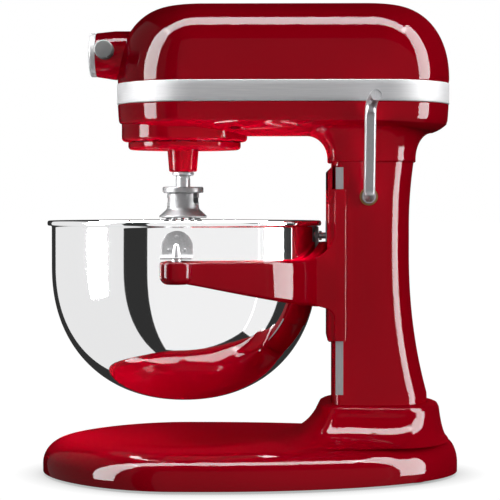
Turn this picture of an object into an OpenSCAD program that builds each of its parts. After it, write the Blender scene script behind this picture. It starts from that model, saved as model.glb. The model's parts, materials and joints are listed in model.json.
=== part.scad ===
// Bowl-lift stand mixer: base, column and head as separate castings, with the motor, gear train,
// planetary, hub drive, bowl cradle and bowl-lift lever that work inside and on them.
// Frame: Z up from the floor, X along the mixer with the attachment hub at -X, Y across it.

/* [Base] */
// Length of the base, front to back
base_length = 370; // [360:1:390]
// Width of the base
base_width = 287; // [280:1:310]
// Height of the base's rim above the floor
rim_height = 32; // [30:1:36]
// Height of the edge below the rim's rounding
edge_height = 10; // [8:1:14]
// Depth of the dish under the bowl
dish_depth = 8; // [4:1:9]
// Radius of a rubber foot
foot_r = 13; // [10:1:15]

/* [Column] */
// Length of the column, from its seat in the base to the head
column_length = 231; // [225:1:250]
// Width across the column's flat sides
column_width = 98.4; // [92:0.2:104]
// Where the column's front face stands
column_front = 72.8; // [71:0.1:75]
// Where the column's waist ends at the rear
column_rear = 141.7; // [138:0.1:148]
// Wall of the castings
wall = 5; // [4:0.5:6]

/* [Head] */
// Where the head's nose ends
head_front = -118; // [-126:1:-114]
// Where the head's rear ends
head_rear = 176.8; // [170:0.5:184]
// Width of the head
head_width = 145.4; // [138:0.2:156]
// Height of the upper housing above the trim band
crown_height = 69.4; // [66:0.1:80]
// Height of the trim band
band_height = 18.7; // [14:0.1:22]

/* [Bowl] */
// Outer radius of the bowl's straight wall
bowl_r = 118.3; // [110:0.1:118.4]
// Height of the bowl, from its base to its rim
bowl_height = 160; // [145:1:161]
// Thickness of the bowl's sheet
bowl_wall = 1.5; // [1:0.1:2]
// Radius of a locating pin at its root
pin_r = 4; // [3:0.1:4.5]

/* [Drive] */
// Radius of the motor's rotor core
rotor_r = 25; // [22:1:28]
// Length of the rotor core
rotor_length = 54; // [44:1:58]
// Radius of the beater shaft
beater_shaft_r = 6.35; // [6:0.05:7]
// Radius of the vertical centre shaft
centre_shaft_r = 6; // [5.5:0.1:6.5]
// Largest radius of the whisk
whisk_r = 44; // [38:1:48]
// Radius of one whisk wire
wire_r = 1.2; // [1:0.1:1.5]
// Radius of the attachment hub's bore
hub_bore_r = 16; // [15:0.1:16.5]
// Outer radius of the attachment hub at its mouth
hub_r = 19.6; // [19:0.1:21]

/* [Bowl lift] */
// Travel of the bowl cradle
lift_travel = 36; // [30:1:38]
// Swing of the lift lever
lever_swing = 100; // [90:1:110]
// Radius of the lever's rod
lever_r = 4.9; // [4.5:0.1:5.5]

/* [Fits] */
// Radial clearance of a shaft that turns in its bush
run_fit = 0.05; // [0.02:0.01:0.09]
// Gap between a piece and the seat that carries it
seat_gap = 0.3; // [0.2:0.05:0.5]
// Radial clearance of a bolt or a fixed shaft in its hole
bolt_fit = 0.05; // [0.02:0.01:0.2]

/* [Hidden] */
$fn = 64;

RED = [0.56, 0.0, 0.07];
STEEL = [0.66, 0.66, 0.68];
BRIGHT = [0.86, 0.86, 0.88];
DARK = [0.2, 0.2, 0.21];
COPPER = [0.72, 0.4, 0.2];
BRASS = [0.78, 0.62, 0.3];

// Heights, each built on the one before it
foot_gap = 2;
socket_z = 46;
neck_z = socket_z + column_length;
underside_z = neck_z + 25.6;
side_z = neck_z + 35.7;
band_z = neck_z + 51.3;
crown_z = band_z + band_height;
motor_z = neck_z + 68;
hub_z = neck_z + 96;
floor_z = underside_z + 4;
block_z = underside_z - 7.1;
disc_z = block_z - 7.1;
rim_z = neck_z - 51.5;
bowl_z = rim_z - bowl_height;

// Plan outlines: [front x, rear x, front nose length, rear nose length, front half-width,
// rear half-width, front exponent, rear exponent, pinch of the front nose]
nose_steps = 9;
side_steps = 3;

function lerp(a, b, s) = a + (b - a) * s;
function nose(a, w, e, pinch, t) =
    [a * pow(cos(t), e), w * pow(sin(t), e) * (1 - pinch * pow(cos(t), 2 * e))];
function half_outline(p) = concat(
    [for (i = [0 : nose_steps]) let (q = nose(p[3], p[5], p[7], 0, 90 * i / nose_steps))
        [p[1] - p[3] + q.x, q.y]],
    [for (i = [1 : side_steps]) let (s = i / (side_steps + 1))
        [lerp(p[1] - p[3], p[0] + p[2], s), lerp(p[5], p[4], (1 - cos(180 * s)) / 2)]],
    [for (i = [nose_steps : -1 : 0]) let (q = nose(p[2], p[4], p[6], p[8], 90 * i / nose_steps))
        [p[0] + p[2] - q.x, q.y]]);
function outline(p) = let (half = half_outline(p)) concat(
    half, [for (i = [len(half) - 2 : -1 : 1]) [half[i].x, -half[i].y]]);
function ring(p, z) = [for (q = outline(p)) [q.x, q.y, z]];
function inset(p, d) =
    [p[0] + d, p[1] - d, p[2] - d * 0.8, p[3] - d * 0.8, p[4] - d, p[5] - d, p[6], p[7], p[8]];

// A solid through a list of rings. It closes on itself when looped, or ends in flat caps.
module loft(rings, looped = false) {
    n = len(rings[0]);
    m = len(rings);
    last = looped ? m - 1 : m - 2;
    walls = [for (i = [0 : last], j = [0 : n - 1])
        let (a = i * n, b = ((i + 1) % m) * n, k = (j + 1) % n)
        each [[a + j, b + j, b + k], [a + j, b + k, a + k]]];
    caps = looped ? [] : [[for (j = [0 : n - 1]) j], [for (j = [n - 1 : -1 : 0]) (m - 1) * n + j]];
    polyhedron(points = [for (r = rings) each r], faces = concat(walls, caps), convexity = 10);
}

// Rings of a round tube that follows a path of points
function unit(v) = v / norm(v);
function heading(path, i) = unit(path[min(i + 1, len(path) - 1)] - path[max(i - 1, 0)]);
function tube_ring(centre, along, across, r, sides) = let (u = unit(cross(across, along)),
    w = cross(along, u)) [for (k = [0 : sides - 1]) let (a = -360 * k / sides)
    centre + r * (cos(a) * u + sin(a) * w)];
function tube_rings(path, across, r, sides) =
    [for (i = [0 : len(path) - 1]) tube_ring(path[i], heading(path, i), across, r, sides)];

// A round solid along X from x0 to x1, and one with a bore
module rod_x(r, x0, x1) translate([x0, 0, 0]) rotate([0, 90, 0]) cylinder(r = r, h = x1 - x0);
module tube_x(r, bore, x0, x1) difference() {
    rod_x(r, x0, x1);
    rod_x(bore, x0 - 1, x1 + 1);
}
module rod_y(r, y0, y1) translate([0, y0, 0]) rotate([-90, 0, 0]) cylinder(r = r, h = y1 - y0);
module tube_z(r, bore, z0, z1) translate([0, 0, z0]) difference() {
    cylinder(r = r, h = z1 - z0);
    translate([0, 0, -1]) cylinder(r = bore, h = z1 - z0 + 2);
}
module at(points) for (p = points) translate(p) children();
// A prism of a side-view outline in X and Z, from y0 to y1
module side_prism(points, y0, y1) translate([0, y1, 0]) rotate([90, 0, 0])
    linear_extrude(y1 - y0) polygon(points);

/* ---- base ---- */
base_front = -base_length / 2;
base_rear = base_length / 2;
base_w = base_width / 2;
rim_inset = 25;
axis_x = -58.5;
dish_r = 105;
base_plan = [base_front, base_rear, 125, 225, base_w, base_w, 1, 1, 0.15];
feet = [[-150, 0, 0], [-60, 105, 0], [-60, -105, 0], [140, 58, 0], [140, -58, 0]];
cavity_z = 18;

function rim_ring(t) = let (d = rim_inset * (1 - cos(t)), q = base_plan) ring([q[0] + d, q[1] - 0.5 * d,
    q[2] - d, q[3] - 0.5 * d, q[4] - d, q[5] - d, 1, 1, 0.15],
    edge_height + (rim_height - edge_height) * sin(t));

// The collar round the column's foot, out by e at the front and sides and by a quarter of it behind
column_half = column_width / 2;
foot_rear = column_rear + 16;
socket_top = 65;
function collar_ring(e, z) = ring([column_front - 11.8 - e, foot_rear + 10.8 + (e > 0 ? e / 4 : e), 20, 50 + e / 5,
    column_half + 10 + e, column_half + 12 + e, 0.65, 0.85, 0.05], z);
fairing = [[32, 0.3], [26, 2], [17.5, 6], [9.5, 13], [3.5, 21], [0.5, 27], [-1.5, 31], [-5, 33]];
function dish(p) = let (d = min(norm([p.x - axis_x, p.y]) / dish_r, 1)) dish_depth * (1 + cos(180 * d)) / 2;
top_steps = 8;
function top_ring(s) = let (a = rim_ring(90), b = collar_ring(fairing[0][0], rim_height + fairing[0][1]))
    [for (i = [0 : len(a) - 1]) let (p = lerp(a[i], b[i], s)) [p.x, p.y, p.z - dish(p)]];

module base_casting() color(RED) difference() {
    union() {
        base_skin();
        at(feet) tube_z(foot_r + 1, foot_stem_r + bolt_fit, 7, cavity_z + 1);
    }
    translate([0, 0, cavity_z - 1]) linear_extrude(socket_z - 8 - cavity_z + 1)
        polygon(outline(inset(column_plan(socket_z), 7)));
    at(base_bolts_at) translate([0, 0, socket_z - 9]) cylinder(r = bolt_r + bolt_fit, h = 10);
}
foot_stem_r = 4;
module base_skin() difference() {
    loft(concat(
        [ring(inset(base_plan, wall + 12), cavity_z), ring(inset(base_plan, wall), foot_gap + 4),
            ring(inset(base_plan, wall), foot_gap), ring(base_plan, foot_gap)],
        [for (t = [0 : 18 : 90]) rim_ring(t)],
        [for (i = [1 : top_steps - 1]) top_ring(i / top_steps)],
        [for (f = fairing) collar_ring(f[0], rim_height + f[1])],
        [ring(inset(column_plan(socket_z), -seat_gap), socket_top),
            ring(inset(column_plan(socket_z), -seat_gap), socket_z)]));
    at(feet) translate([0, 0, cavity_z - 7]) cylinder(r = foot_stem_r + bolt_fit, h = 12);
}

module rubber_feet() color(DARK) at(feet) {
    rotate_extrude() polygon([[0, 0], [foot_r - 1.5, 0], [foot_r, 1.5], [foot_r, 7], [0, 7]]);
    translate([0, 0, 6]) cylinder(r = foot_stem_r, h = 11);
}

/* ---- column ---- */
function column_flare(z) = 16 * pow(max(0, 200 - max(z, 72)) / 128, 2.2)
    + 4 * pow(max(0, z - neck_z + 56) / 56, 2);
function column_plan(z) = let (f = column_flare(z)) [column_front, column_rear + f, 12, 44,
    column_half, column_half - 2 + 0.25 * f, 0.4, 0.85, 0];
column_levels = [0, 0.06, 0.12, 0.19, 0.27, 0.36, 0.46, 0.57, 0.68, 0.79, 0.9, 1];
bolt_r = 4;
base_bolts_at = [[90, 32, 0], [90, -32, 0], [134, 30, 0], [134, -30, 0]];
neck_bolts_at = [[90, 34, 0], [90, -34, 0], [119, 31, 0], [119, -31, 0]];
plate = 8;

// The lever's axle and its crank, which drives the carriage through a roller in a slot
axle_x = 104.4;
axle_z = neck_z - 30.4;
axle_r = 6;
bush_r = 8;
crank_arm = lift_travel / (2 * sin(lever_swing / 2));
roller_r = 4;
roller_at = [axle_x + crank_arm * cos(lever_swing / 2), 0, axle_z + lift_travel / 2];
crank_y = -14;
bush_end = -21;
lift_slot = [-22, 16];

module column_casting() color(RED) difference() {
    union() {
        loft(concat([for (s = column_levels) let (z = socket_z + column_length * s) ring(column_plan(z), z)],
            [for (i = [len(column_levels) - 1 : -1 : 0]) let (z = socket_z + column_length * column_levels[i])
                ring(inset(column_plan(z), wall), z)]), looped = true);
        translate([0, 0, socket_z]) linear_extrude(plate)
            polygon(outline(inset(column_plan(socket_z), wall - 1)));
        translate([0, 0, neck_z - plate]) linear_extrude(plate) difference() {
            polygon(outline(inset(column_plan(neck_z - plate), wall - 1)));
            translate([0, lift_slot[0]]) square([base_rear, lift_slot[1] - lift_slot[0]]);
        }
        translate([axle_x, 0, axle_z]) rod_y(bush_r + 4, -column_half + 1, bush_end - 1);
    }
    translate([column_front - 5, -carriage_w / 2 - 2, rim_z - 60])
        cube([wall + 10, carriage_w + 4, neck_z - rim_z + 61]);
    at(base_bolts_at) translate([0, 0, socket_z - 1]) cylinder(r = bolt_r + bolt_fit, h = plate + 2);
    at(neck_bolts_at) translate([0, 0, neck_z - plate - 1]) cylinder(r = bolt_r + bolt_fit, h = plate + 2);
    translate([axle_x, 0, axle_z]) rod_y(bush_r + bolt_fit, -column_half - 5, bush_end + 1);
    translate([axle_x, 0, axle_z]) rod_y(bush_r + 3, -column_half - 5, -column_half + 2);
}

// Steel strips on the column's flat sides that the yoke slides over
rail_t = 0.8;
module slide_rails() color(STEEL) for (s = [-1, 1])
    translate([column_front + 6, s * (column_half + rail_t / 2), (socket_z + 28 + neck_z - 5) / 2])
        cube([6.6, rail_t, neck_z - 5 - socket_z - 28], center = true);

module bolt(length) {
    translate([0, 0, -6]) cylinder(r = 6.5, h = 6, $fn = 6);
    cylinder(r = bolt_r, h = length);
}
module casting_bolts() color(STEEL) {
    at(base_bolts_at) translate([0, 0, socket_z - 8]) bolt(8 + plate - 1);
    at(neck_bolts_at) translate([0, 0, neck_z - plate]) bolt(plate * 2 - 1);
}

/* ---- head castings ---- */
head_w = head_width / 2;
nose_ratio = 0.935;
tail_ratio = 0.86;
round_power = 2 / 2.2;
crown_inset = 55;
crown_half_w = 24;
head_plan = [head_front, head_rear, head_w * nose_ratio, head_w * tail_ratio, head_w, head_w, 1, 1, 0.12];

// The upper housing at angle t of its rounding, moved inwards by d
function crown_ring(t, d) = let (s = pow(cos(t), round_power), r = crown_inset * (1 - s),
    w = lerp(crown_half_w, head_w, s) - d) ring([head_front + r + d, head_rear + 0.5 - r - d,
    w * nose_ratio, w * tail_ratio, w, w, 1, 1, 0.12],
    crown_z + 3 + (crown_height - 3 - d) * pow(sin(t), round_power));
nose_hub_r = hub_r + 1.7;
screws_at = [[-12, 52, 0], [-12, -52, 0], [118, 52, 0], [118, -52, 0]];
screw_r = 2.5;

module upper_housing() color(RED) difference() {
    union() {
        loft(concat([for (t = [90 : -15 : 0]) crown_ring(t, wall - 0.5)],
            [ring(inset(head_plan, wall - 0.5), crown_z), ring(head_plan, crown_z)],
            [for (t = [0 : 11.25 : 90]) crown_ring(t, 0)]));
        at(screws_at) tube_z(5.5, screw_r + bolt_fit, crown_z, crown_z + 16);
        for (p = screws_at) translate([p.x - 2, p.y > 0 ? p.y + 5 : -head_w + 3, crown_z + 4])
            cube([4, head_w - p.y * sign(p.y) - 8, 11]);
    }
    translate([0, 0, hub_z]) rod_x(nose_hub_r + bolt_fit, head_front - 10, head_front + 30);
}

band_proud = 0.6;
lever_slot = [40, 86];
module trim_band() color(BRIGHT) difference() {
    translate([0, 0, band_z]) linear_extrude(band_height) difference() {
        polygon(outline(inset(head_plan, -band_proud)));
        polygon(outline(inset(head_plan, 4)));
    }
    translate([lever_slot[0], head_w - 10, band_z + 5.5]) cube([lever_slot[1] - lever_slot[0], 20, 8]);
}

// The lower housing: neck, underside and sides in one skin
neck_w = column_half + 1.8;
neck_front = column_front - 3.4;
neck_rear = column_rear + 5.8;
function neck_ring(t) = let (f = 1 - cos(t)) ring([neck_front - 18.7 * f, neck_rear + 9.5 * f, 12 + 8 * f,
    44 + 4 * f, neck_w + 4 * f, neck_w + 4 * f, 0.4, 0.85, 0],
    neck_z + 3 + (underside_z - neck_z - 3) * sin(t));
// The tub under the trim band at angle t of its rounding, its outside (d = 0) or its inside
function tub_ring(t, d) = let (k = pow(cos(t), 1.6), w = head_w - 1 - 12.5 * k - d)
    ring([head_front + 1 + 20 * k + d, head_rear - 0.9 - 19.3 * k - d, w * nose_ratio, w * tail_ratio, w, w,
        1, 1, 0.12], (d > 0 ? floor_z : underside_z) + (side_z - underside_z - (d > 0 ? 3 : 0)) * (1 - cos(t)));
neck_inner = [neck_front + wall, neck_rear - wall, 12, 42, neck_w - wall, neck_w - wall, 0.4, 0.85, 0];
block_r = 56;
ring_seat_r = 44.5;
web_z = block_z + 10;
shaft_bush_r = 11;

module lower_housing() color(RED) difference() {
    union() {
        difference() {
            loft(concat([ring([neck_front, neck_rear, 12, 44, neck_w, neck_w, 0.4, 0.85, 0], neck_z)],
                [for (t = [0 : 18 : 90]) neck_ring(t)],
                [for (t = [0 : 18 : 90]) tub_ring(t, 0)],
                [ring(head_plan, band_z), ring(inset(head_plan, wall), band_z)],
                [for (t = [90 : -30 : 0]) tub_ring(t, wall)],
                [ring(neck_inner, floor_z), ring(neck_inner, neck_z)]), looped = true);
            translate([axis_x, 0, underside_z - 1]) cylinder(r = block_r - 4, h = floor_z - underside_z + 2);
        }
        translate([axis_x, 0, 0]) rotate_extrude() polygon([[shaft_bush_r + bolt_fit, web_z],
            [ring_seat_r, web_z], [ring_seat_r, block_z], [block_r - 4, block_z], [block_r, block_z + 4],
            [block_r, web_z + 5], [20, web_z + 5], [18, web_z + 8], [shaft_bush_r + bolt_fit, web_z + 8]]);
        translate([0, 0, neck_z]) linear_extrude(plate) difference() {
            polygon(outline(inset(neck_inner, -1)));
            translate([0, lift_slot[0]]) square([base_rear, lift_slot[1] - lift_slot[0]]);
        }
        at(screws_at) tube_z(5.5, screw_r + bolt_fit, underside_z + 1, band_z);
    }
    at(neck_bolts_at) translate([0, 0, neck_z - 1]) cylinder(r = bolt_r + bolt_fit, h = plate + 2);
    at(screws_at) translate([0, 0, underside_z - 1]) cylinder(r = screw_r + bolt_fit, h = 12);
    at(screws_at) translate([0, 0, underside_z - 1]) cylinder(r = 4.6, h = 3.5);
    translate([0, 0, underside_z + 15]) rod_x(6 + bolt_fit, head_rear - 20, head_rear + 10);
}

module housing_screws() color(STEEL) at(screws_at) {
    translate([0, 0, underside_z - 0.3]) cylinder(r = 4.5, h = 2.8);
    translate([0, 0, underside_z + 1]) cylinder(r = screw_r, h = crown_z + 14 - underside_z);
}

module cord_inlet() color(DARK) translate([0, 0, underside_z + 15])
    tube_x(6, 3.6, head_rear - 12, head_rear - 2.5);

/* ---- attachment hub ---- */
hub_front = head_front - 18.8;
hub_back = head_front + 26;
mouth_x = hub_front - 3;
skirt_t = 1.8;
socket_depth = 18;
hub_bush_r = 11;
hub_shaft_r = 8.5;
knob_x = hub_front + 9.7;
knob_z = hub_z + 2.2;
knob_stem_r = 3;

module hub_nose() color(RED) difference() {
    translate([0, 0, hub_z]) rotate([0, 90, 0]) rotate_extrude() polygon([[hub_bore_r, mouth_x],
        [hub_r - skirt_t, mouth_x], [hub_r - skirt_t, hub_front], [hub_r, hub_front],
        [nose_hub_r, head_front - 2], [nose_hub_r, hub_back - 5.8],
        [nose_hub_r + 1.5, hub_back - 5.8], [nose_hub_r + 1.5, hub_back - 2], [hub_bush_r + 4, hub_back - 2],
        [hub_bush_r + 4, hub_back], [hub_bush_r + bolt_fit, hub_back],
        [hub_bush_r + bolt_fit, hub_front + socket_depth + 0.5],
        [hub_bore_r, hub_front + socket_depth + 0.5]]);
    translate([knob_x, 0, knob_z]) rod_y(knob_stem_r + run_fit, -hub_r - 5, 0);
}

// The cap's skirt goes round the hub's stepped mouth and leaves the bore free
module hub_cap() color(BRIGHT) translate([0, 0, hub_z]) rotate([0, 90, 0]) rotate_extrude()
    polygon([[0, hub_front - 7.1], [hub_r - 6, hub_front - 6.5], [hub_r - 1, hub_front - 5.5],
        [hub_r, hub_front - 4.6], [hub_r, hub_front - seat_gap], [hub_r - skirt_t + 0.1, hub_front - seat_gap],
        [hub_r - skirt_t + 0.1, mouth_x - 0.2], [0, mouth_x - 0.2]]);

knob_r = 8.2;
module attachment_knob() color(DARK) translate([knob_x, 0, knob_z]) {
    rotate([90, 0, 0]) rotate_extrude() polygon([[0, hub_r + 2.5], [5.5, hub_r + 2.5], [5.5, hub_r + 5.5],
        [knob_r, hub_r + 8], [knob_r, hub_r + 23.5], [knob_r - 1.5, hub_r + 25], [0, hub_r + 25]]);
    rod_y(knob_stem_r, -hub_r - 3, -hub_bore_r - 0.4);
}

/* ---- gears ---- */
gear_module = 1.5;
worm_module = 1.25;
centre_teeth = 42;
pinion_teeth = 14;
ring_teeth = 50;
planet_teeth = 16;
bevel_teeth = 32;
hub_teeth = 16;
worm_teeth = 32;
worm_starts = 2;
worm_r = 7;
tooth_share = 0.43;

// Outline of a straight-flanked gear with its tooth 0 at angle phase. Inner gears have negative add.
function flank(m, h, r) = h * m * tan(20) / r * 180 / PI;
function gear_points(n, m, add, ded, phase) = let (r = n * m / 2, h = tooth_share * 180 / n)
    [for (k = [0 : n - 1]) let (a = phase + 360 * k / n) each
        [for (q = [[-ded, -1], [add, -1], [add, 1], [-ded, 1]])
            let (d = a + q[1] * (h - flank(m, abs(q[0]) * sign(q[0]) * sign(add), r)))
            (r + q[0] * m) * [cos(d), sin(d)]]];

pinion_gap = (centre_teeth + pinion_teeth) * gear_module / 2;
worm_gear_r = worm_teeth * worm_module / 2;
axle_y = worm_gear_r + worm_r;
axle_dx = sqrt(pinion_gap * pinion_gap - axle_y * axle_y);
mesh_angle = atan2(axle_y, axle_dx);
gear_axle_at = [axis_x + axle_dx, axle_y, 0];
gear_z = neck_z + 48;
gear_face = 9.5;
pinion_face = 11.5;
axle_shaft_r = 4;
orbit = (ring_teeth - planet_teeth) * gear_module / 2;
beater_at = [axis_x, -orbit, 0];
planet_z = block_z + 1.3;
planet_face = 7.5;

module ring_gear() color(STEEL) translate([axis_x, 0, block_z + 0.5]) linear_extrude(9.2) difference() {
    circle(r = ring_seat_r - seat_gap / 3);
    polygon(gear_points(ring_teeth, gear_module, -0.7, -1.1, 270 + 180 / ring_teeth));
}
module planet_pinion() color(STEEL) translate(beater_at) translate([0, 0, planet_z]) difference() {
    linear_extrude(planet_face) polygon(gear_points(planet_teeth, gear_module, 0.7, 1.1, 270));
    translate([0, 0, -1]) cylinder(r = beater_shaft_r + 0.02, h = planet_face + 2);
}
module centre_gear() color(STEEL) translate([axis_x, 0, gear_z]) difference() {
    linear_extrude(gear_face) polygon(gear_points(centre_teeth, gear_module, 0.8, 1.1, mesh_angle));
    translate([0, 0, -1]) cylinder(r = centre_shaft_r + 0.02, h = gear_face + 2);
}
module pinion_gear() color(STEEL) translate(gear_axle_at) translate([0, 0, gear_z - 1]) difference() {
    linear_extrude(pinion_face) polygon(gear_points(pinion_teeth, gear_module, 0.8, 1.1,
        mesh_angle + 180 + 180 / pinion_teeth));
    translate([0, 0, -1]) cylinder(r = axle_shaft_r + 0.02, h = pinion_face + 2);
}

worm_face = 8;
lead_angle = atan(worm_module * worm_starts / (2 * worm_r));
worm_twist = worm_face * tan(lead_angle) / worm_gear_r * 180 / PI;
module worm_gear() color(BRASS) translate(gear_axle_at + [0, 0, motor_z - worm_face / 2]) difference() {
    linear_extrude(worm_face, twist = -worm_twist, slices = 2)
        polygon(gear_points(worm_teeth, worm_module, 0.7, 1.1, 270 - worm_twist / 2));
    translate([0, 0, -1]) cylinder(r = axle_shaft_r + 0.02, h = worm_face + 2);
}
module gear_axle() color(STEEL) translate(gear_axle_at) {
    translate([0, 0, bracket_z + 0.5]) cylinder(r = axle_shaft_r, h = arm_z + 5 - bracket_z - 0.5);
    tube_z(7, axle_shaft_r + 0.02, motor_z + worm_face / 2 + 0.2, arm_z - seat_gap);
}

// The worm is a rippled rod: its radius follows the thread at each place along and round it
worm_pitch = PI * worm_module;
worm_steps = 6;
worm_turns = 9;
worm_sides = 24;
worm_half = worm_turns * worm_pitch / 2;
worm_end = gear_axle_at.x + worm_half;
crest = 0.35;
root = 0.78;
function thread_r(x, a) = let (u = x / worm_pitch - worm_starts * a / 360, v = abs((u - floor(u)) * 2 - 1))
    worm_r + worm_module * lerp(0.7, -1.15, min(max((v - crest) / (root - crest), 0), 1));
function worm_circle(x) = [for (k = [0 : worm_sides - 1]) let (a = 360 * k / worm_sides)
    [motor_shaft_r * cos(a), motor_shaft_r * sin(a), x]];
module worm() color(STEEL) translate([gear_axle_at.x, 0, motor_z]) rotate([0, 90, 0])
    loft(concat([worm_circle(-worm_half - 0.25)],
        [for (i = [0 : worm_turns * worm_steps]) let (x = i / worm_steps * worm_pitch - worm_half)
            [for (k = [0 : worm_sides - 1]) let (a = 360 * k / worm_sides, r = thread_r(x, a - 90))
                [r * cos(a), r * sin(a), x]]],
        [worm_circle(worm_half + 0.25)]));

// A bevel gear with its apex at the origin and its axis up to the apex
function bevel_profile(n, own, mate, k) = let (l = norm([own, mate]), h = tooth_share * 180 / n)
    [for (i = [0 : n - 1]) let (a = 360 * i / n) each
        [for (q = [[-1.6, -1.25], [1.1, -0.72], [1.1, 0.72], [-1.6, 1.25]])
            let (r = k * (own + q[0] * mate / l), d = a + q[1] * h)
            [r * cos(d), r * sin(d), k * (q[0] * own / l - mate)]]];
function flat_ring(n, r, z) = [for (i = [0 : n - 1], q = [-1.25, -0.72, 0.72, 1.25])
    let (d = 360 * i / n + q * tooth_share * 180 / n) [r * cos(d), r * sin(d), z]];
module bevel_gear(n, own, mate, bore) difference() {
    k = 0.67;
    body = own - 2.4;
    loft([flat_ring(n, body, -mate - 6), flat_ring(n, body, -mate - 2.4), bevel_profile(n, own, mate, 1),
        bevel_profile(n, own, mate, k), flat_ring(n, own * k - 3, -mate * k - 0.5)]);
    translate([0, 0, -mate - 10]) cylinder(r = bore, h = mate + 10);
}
bevel_r = bevel_teeth * gear_module / 2;
hub_bevel_r = hub_teeth * gear_module / 2;
module centre_bevel() color(STEEL) translate([axis_x, 0, hub_z]) rotate([0, 0, 180])
    bevel_gear(bevel_teeth, bevel_r, hub_bevel_r, centre_shaft_r + 0.02);
module hub_bevel() color(STEEL) translate([axis_x, 0, hub_z]) rotate([0, 90, 0])
    rotate([0, 0, 180 / hub_teeth]) bevel_gear(hub_teeth, hub_bevel_r, bevel_r, 4.02);
module hub_drive_shaft() color(STEEL) translate([0, 0, hub_z]) {
    difference() {
        rod_x(hub_shaft_r, hub_front + socket_depth + 1, axis_x - bevel_r - 6.2);
        translate([hub_front + socket_depth, -4, -4]) cube([14, 8, 8]);
    }
    rod_x(4, axis_x - bevel_r - 6.2, axis_x - bevel_r + 6);
}

/* ---- gearcase bracket and shafts ---- */
bracket_z = web_z + 8.5;
bracket_t = 4;
arm_z = neck_z + 107;
posts_at = [[axis_x, 40, 0], [axis_x, -40, 0], [6, 40, 0]];
// One plate of the bracket, t thick, with its under face at z
module bracket_plate(z, t) translate([0, 0, z]) linear_extrude(t) {
    translate([axis_x - 8, -46]) square([16, 92]);
    translate([axis_x - 8, 34]) square([78, 12]);
    translate([gear_axle_at.x - 8, axle_y - 8]) square([16, 20]);
    translate([axis_x, 0]) circle(r = 13);
}
module gearcase_bracket() color(STEEL) difference() {
    union() {
        bracket_plate(bracket_z, bracket_t);
        bracket_plate(arm_z, bracket_t + 2);
        at(posts_at) translate([0, 0, bracket_z + 1]) cylinder(r = 5, h = arm_z - bracket_z);
        at(posts_at) translate([0, 0, web_z + 5]) cylinder(r = 6, h = bracket_z + 1 - web_z - 5);
    }
    translate([axis_x, 0, bracket_z - 1]) cylinder(r = 9, h = bracket_t + 2);
    translate([axis_x, 0, arm_z - 1]) cylinder(r = 9 + bolt_fit, h = bracket_t + 4);
    translate(gear_axle_at) translate([0, 0, bracket_z - 1]) cylinder(r = axle_shaft_r + run_fit, h = arm_z);
}
module shaft_bushes() color(BRASS) {
    translate([axis_x, 0, 0]) tube_z(shaft_bush_r, centre_shaft_r + run_fit, web_z, web_z + 8);
    translate([axis_x, 0, 0]) tube_z(9, centre_shaft_r + run_fit, arm_z, arm_z + bracket_t + 2);
    translate([0, 0, hub_z]) tube_x(hub_bush_r, hub_shaft_r + run_fit, hub_back - 16, hub_back);
}
pin_hole_r = 1.52;
module centre_shaft() color(STEEL) difference() {
    translate([axis_x, 0, disc_z + 2]) cylinder(r = centre_shaft_r, h = arm_z + 5 - disc_z);
    translate([axis_x, 0, planet_z + 3]) rod_x(pin_hole_r, -10, 10);
}

/* ---- planetary and beater ---- */
boss_z = neck_z - 8.6;
disc_r = 50.2;
beater_bush_r = 9;
module planetary_housing() color(RED) difference() {
    union() {
        translate([axis_x, 0, 0]) rotate_extrude() polygon([[0, disc_z], [disc_r - 7, disc_z],
            [disc_r - 3, disc_z + 1], [disc_r - 0.8, disc_z + 3], [disc_r, disc_z + 6.5], [11, disc_z + 6.5],
            [11, planet_z + 6], [0, planet_z + 6]]);
        translate(beater_at) rotate_extrude() polygon([[0, boss_z], [10, boss_z], [12.6, boss_z + 2.6],
            [13.7, disc_z - 4], [15.2, disc_z - 1.6], [18, disc_z + 0.5], [18, disc_z + 2], [0, disc_z + 2]]);
    }
    translate([axis_x, 0, disc_z + 2]) cylinder(r = centre_shaft_r + 0.02, h = 30);
    translate(beater_at) translate([0, 0, boss_z - 1]) cylinder(r = beater_bush_r + 0.02, h = 40);
    translate([axis_x, 0, planet_z + 3]) rod_x(pin_hole_r, -20, 20);
}
module beater_bush() color(BRASS) translate(beater_at)
    tube_z(beater_bush_r, beater_shaft_r + run_fit, boss_z, disc_z + 6.5);
module planetary_pin() color(STEEL) translate([axis_x, 0, planet_z + 3])
    rod_x(pin_hole_r - 0.02, -10.5, 10.5);

flange_z = neck_z - 21.8;
whisk_z = neck_z - 49;
module beater_shaft() color(STEEL) translate(beater_at) difference() {
    translate([0, 0, flange_z - 14])
        cylinder(r = beater_shaft_r, h = planet_z + planet_face + 0.5 - flange_z + 14);
    translate([0, 0, flange_z - 7]) rod_y(2.4, -10, 10);
}
module beater_collar() color(STEEL) translate(beater_at)
    tube_z(9.5, beater_shaft_r + 0.02, boss_z - 3.6, boss_z - seat_gap);
module drive_pin() color(STEEL) translate(beater_at) translate([0, 0, flange_z - 7]) rod_y(2.38, -10.5, 10.5);
module whisk_hub() color(STEEL) translate(beater_at) difference() {
    rotate_extrude() polygon([[0, whisk_z], [21, whisk_z], [21, whisk_z + 1.5], [14, whisk_z + 8],
        [14, flange_z - 5.3], [18, flange_z - 5.3], [18, flange_z], [0, flange_z]]);
    translate([0, 0, flange_z - 14.3]) cylinder(r = beater_shaft_r + run_fit, h = 15);
    translate([-2.5, -11, flange_z - 9.5]) cube([5, 22, 10]);
    for (i = [0 : loops - 1], side = [-1, 1]) translate(wire_point(i, wire_start, side) - [0, 0, 1])
        cylinder(r = wire_r + bolt_fit, h = 1 + wire_socket);
}

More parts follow.
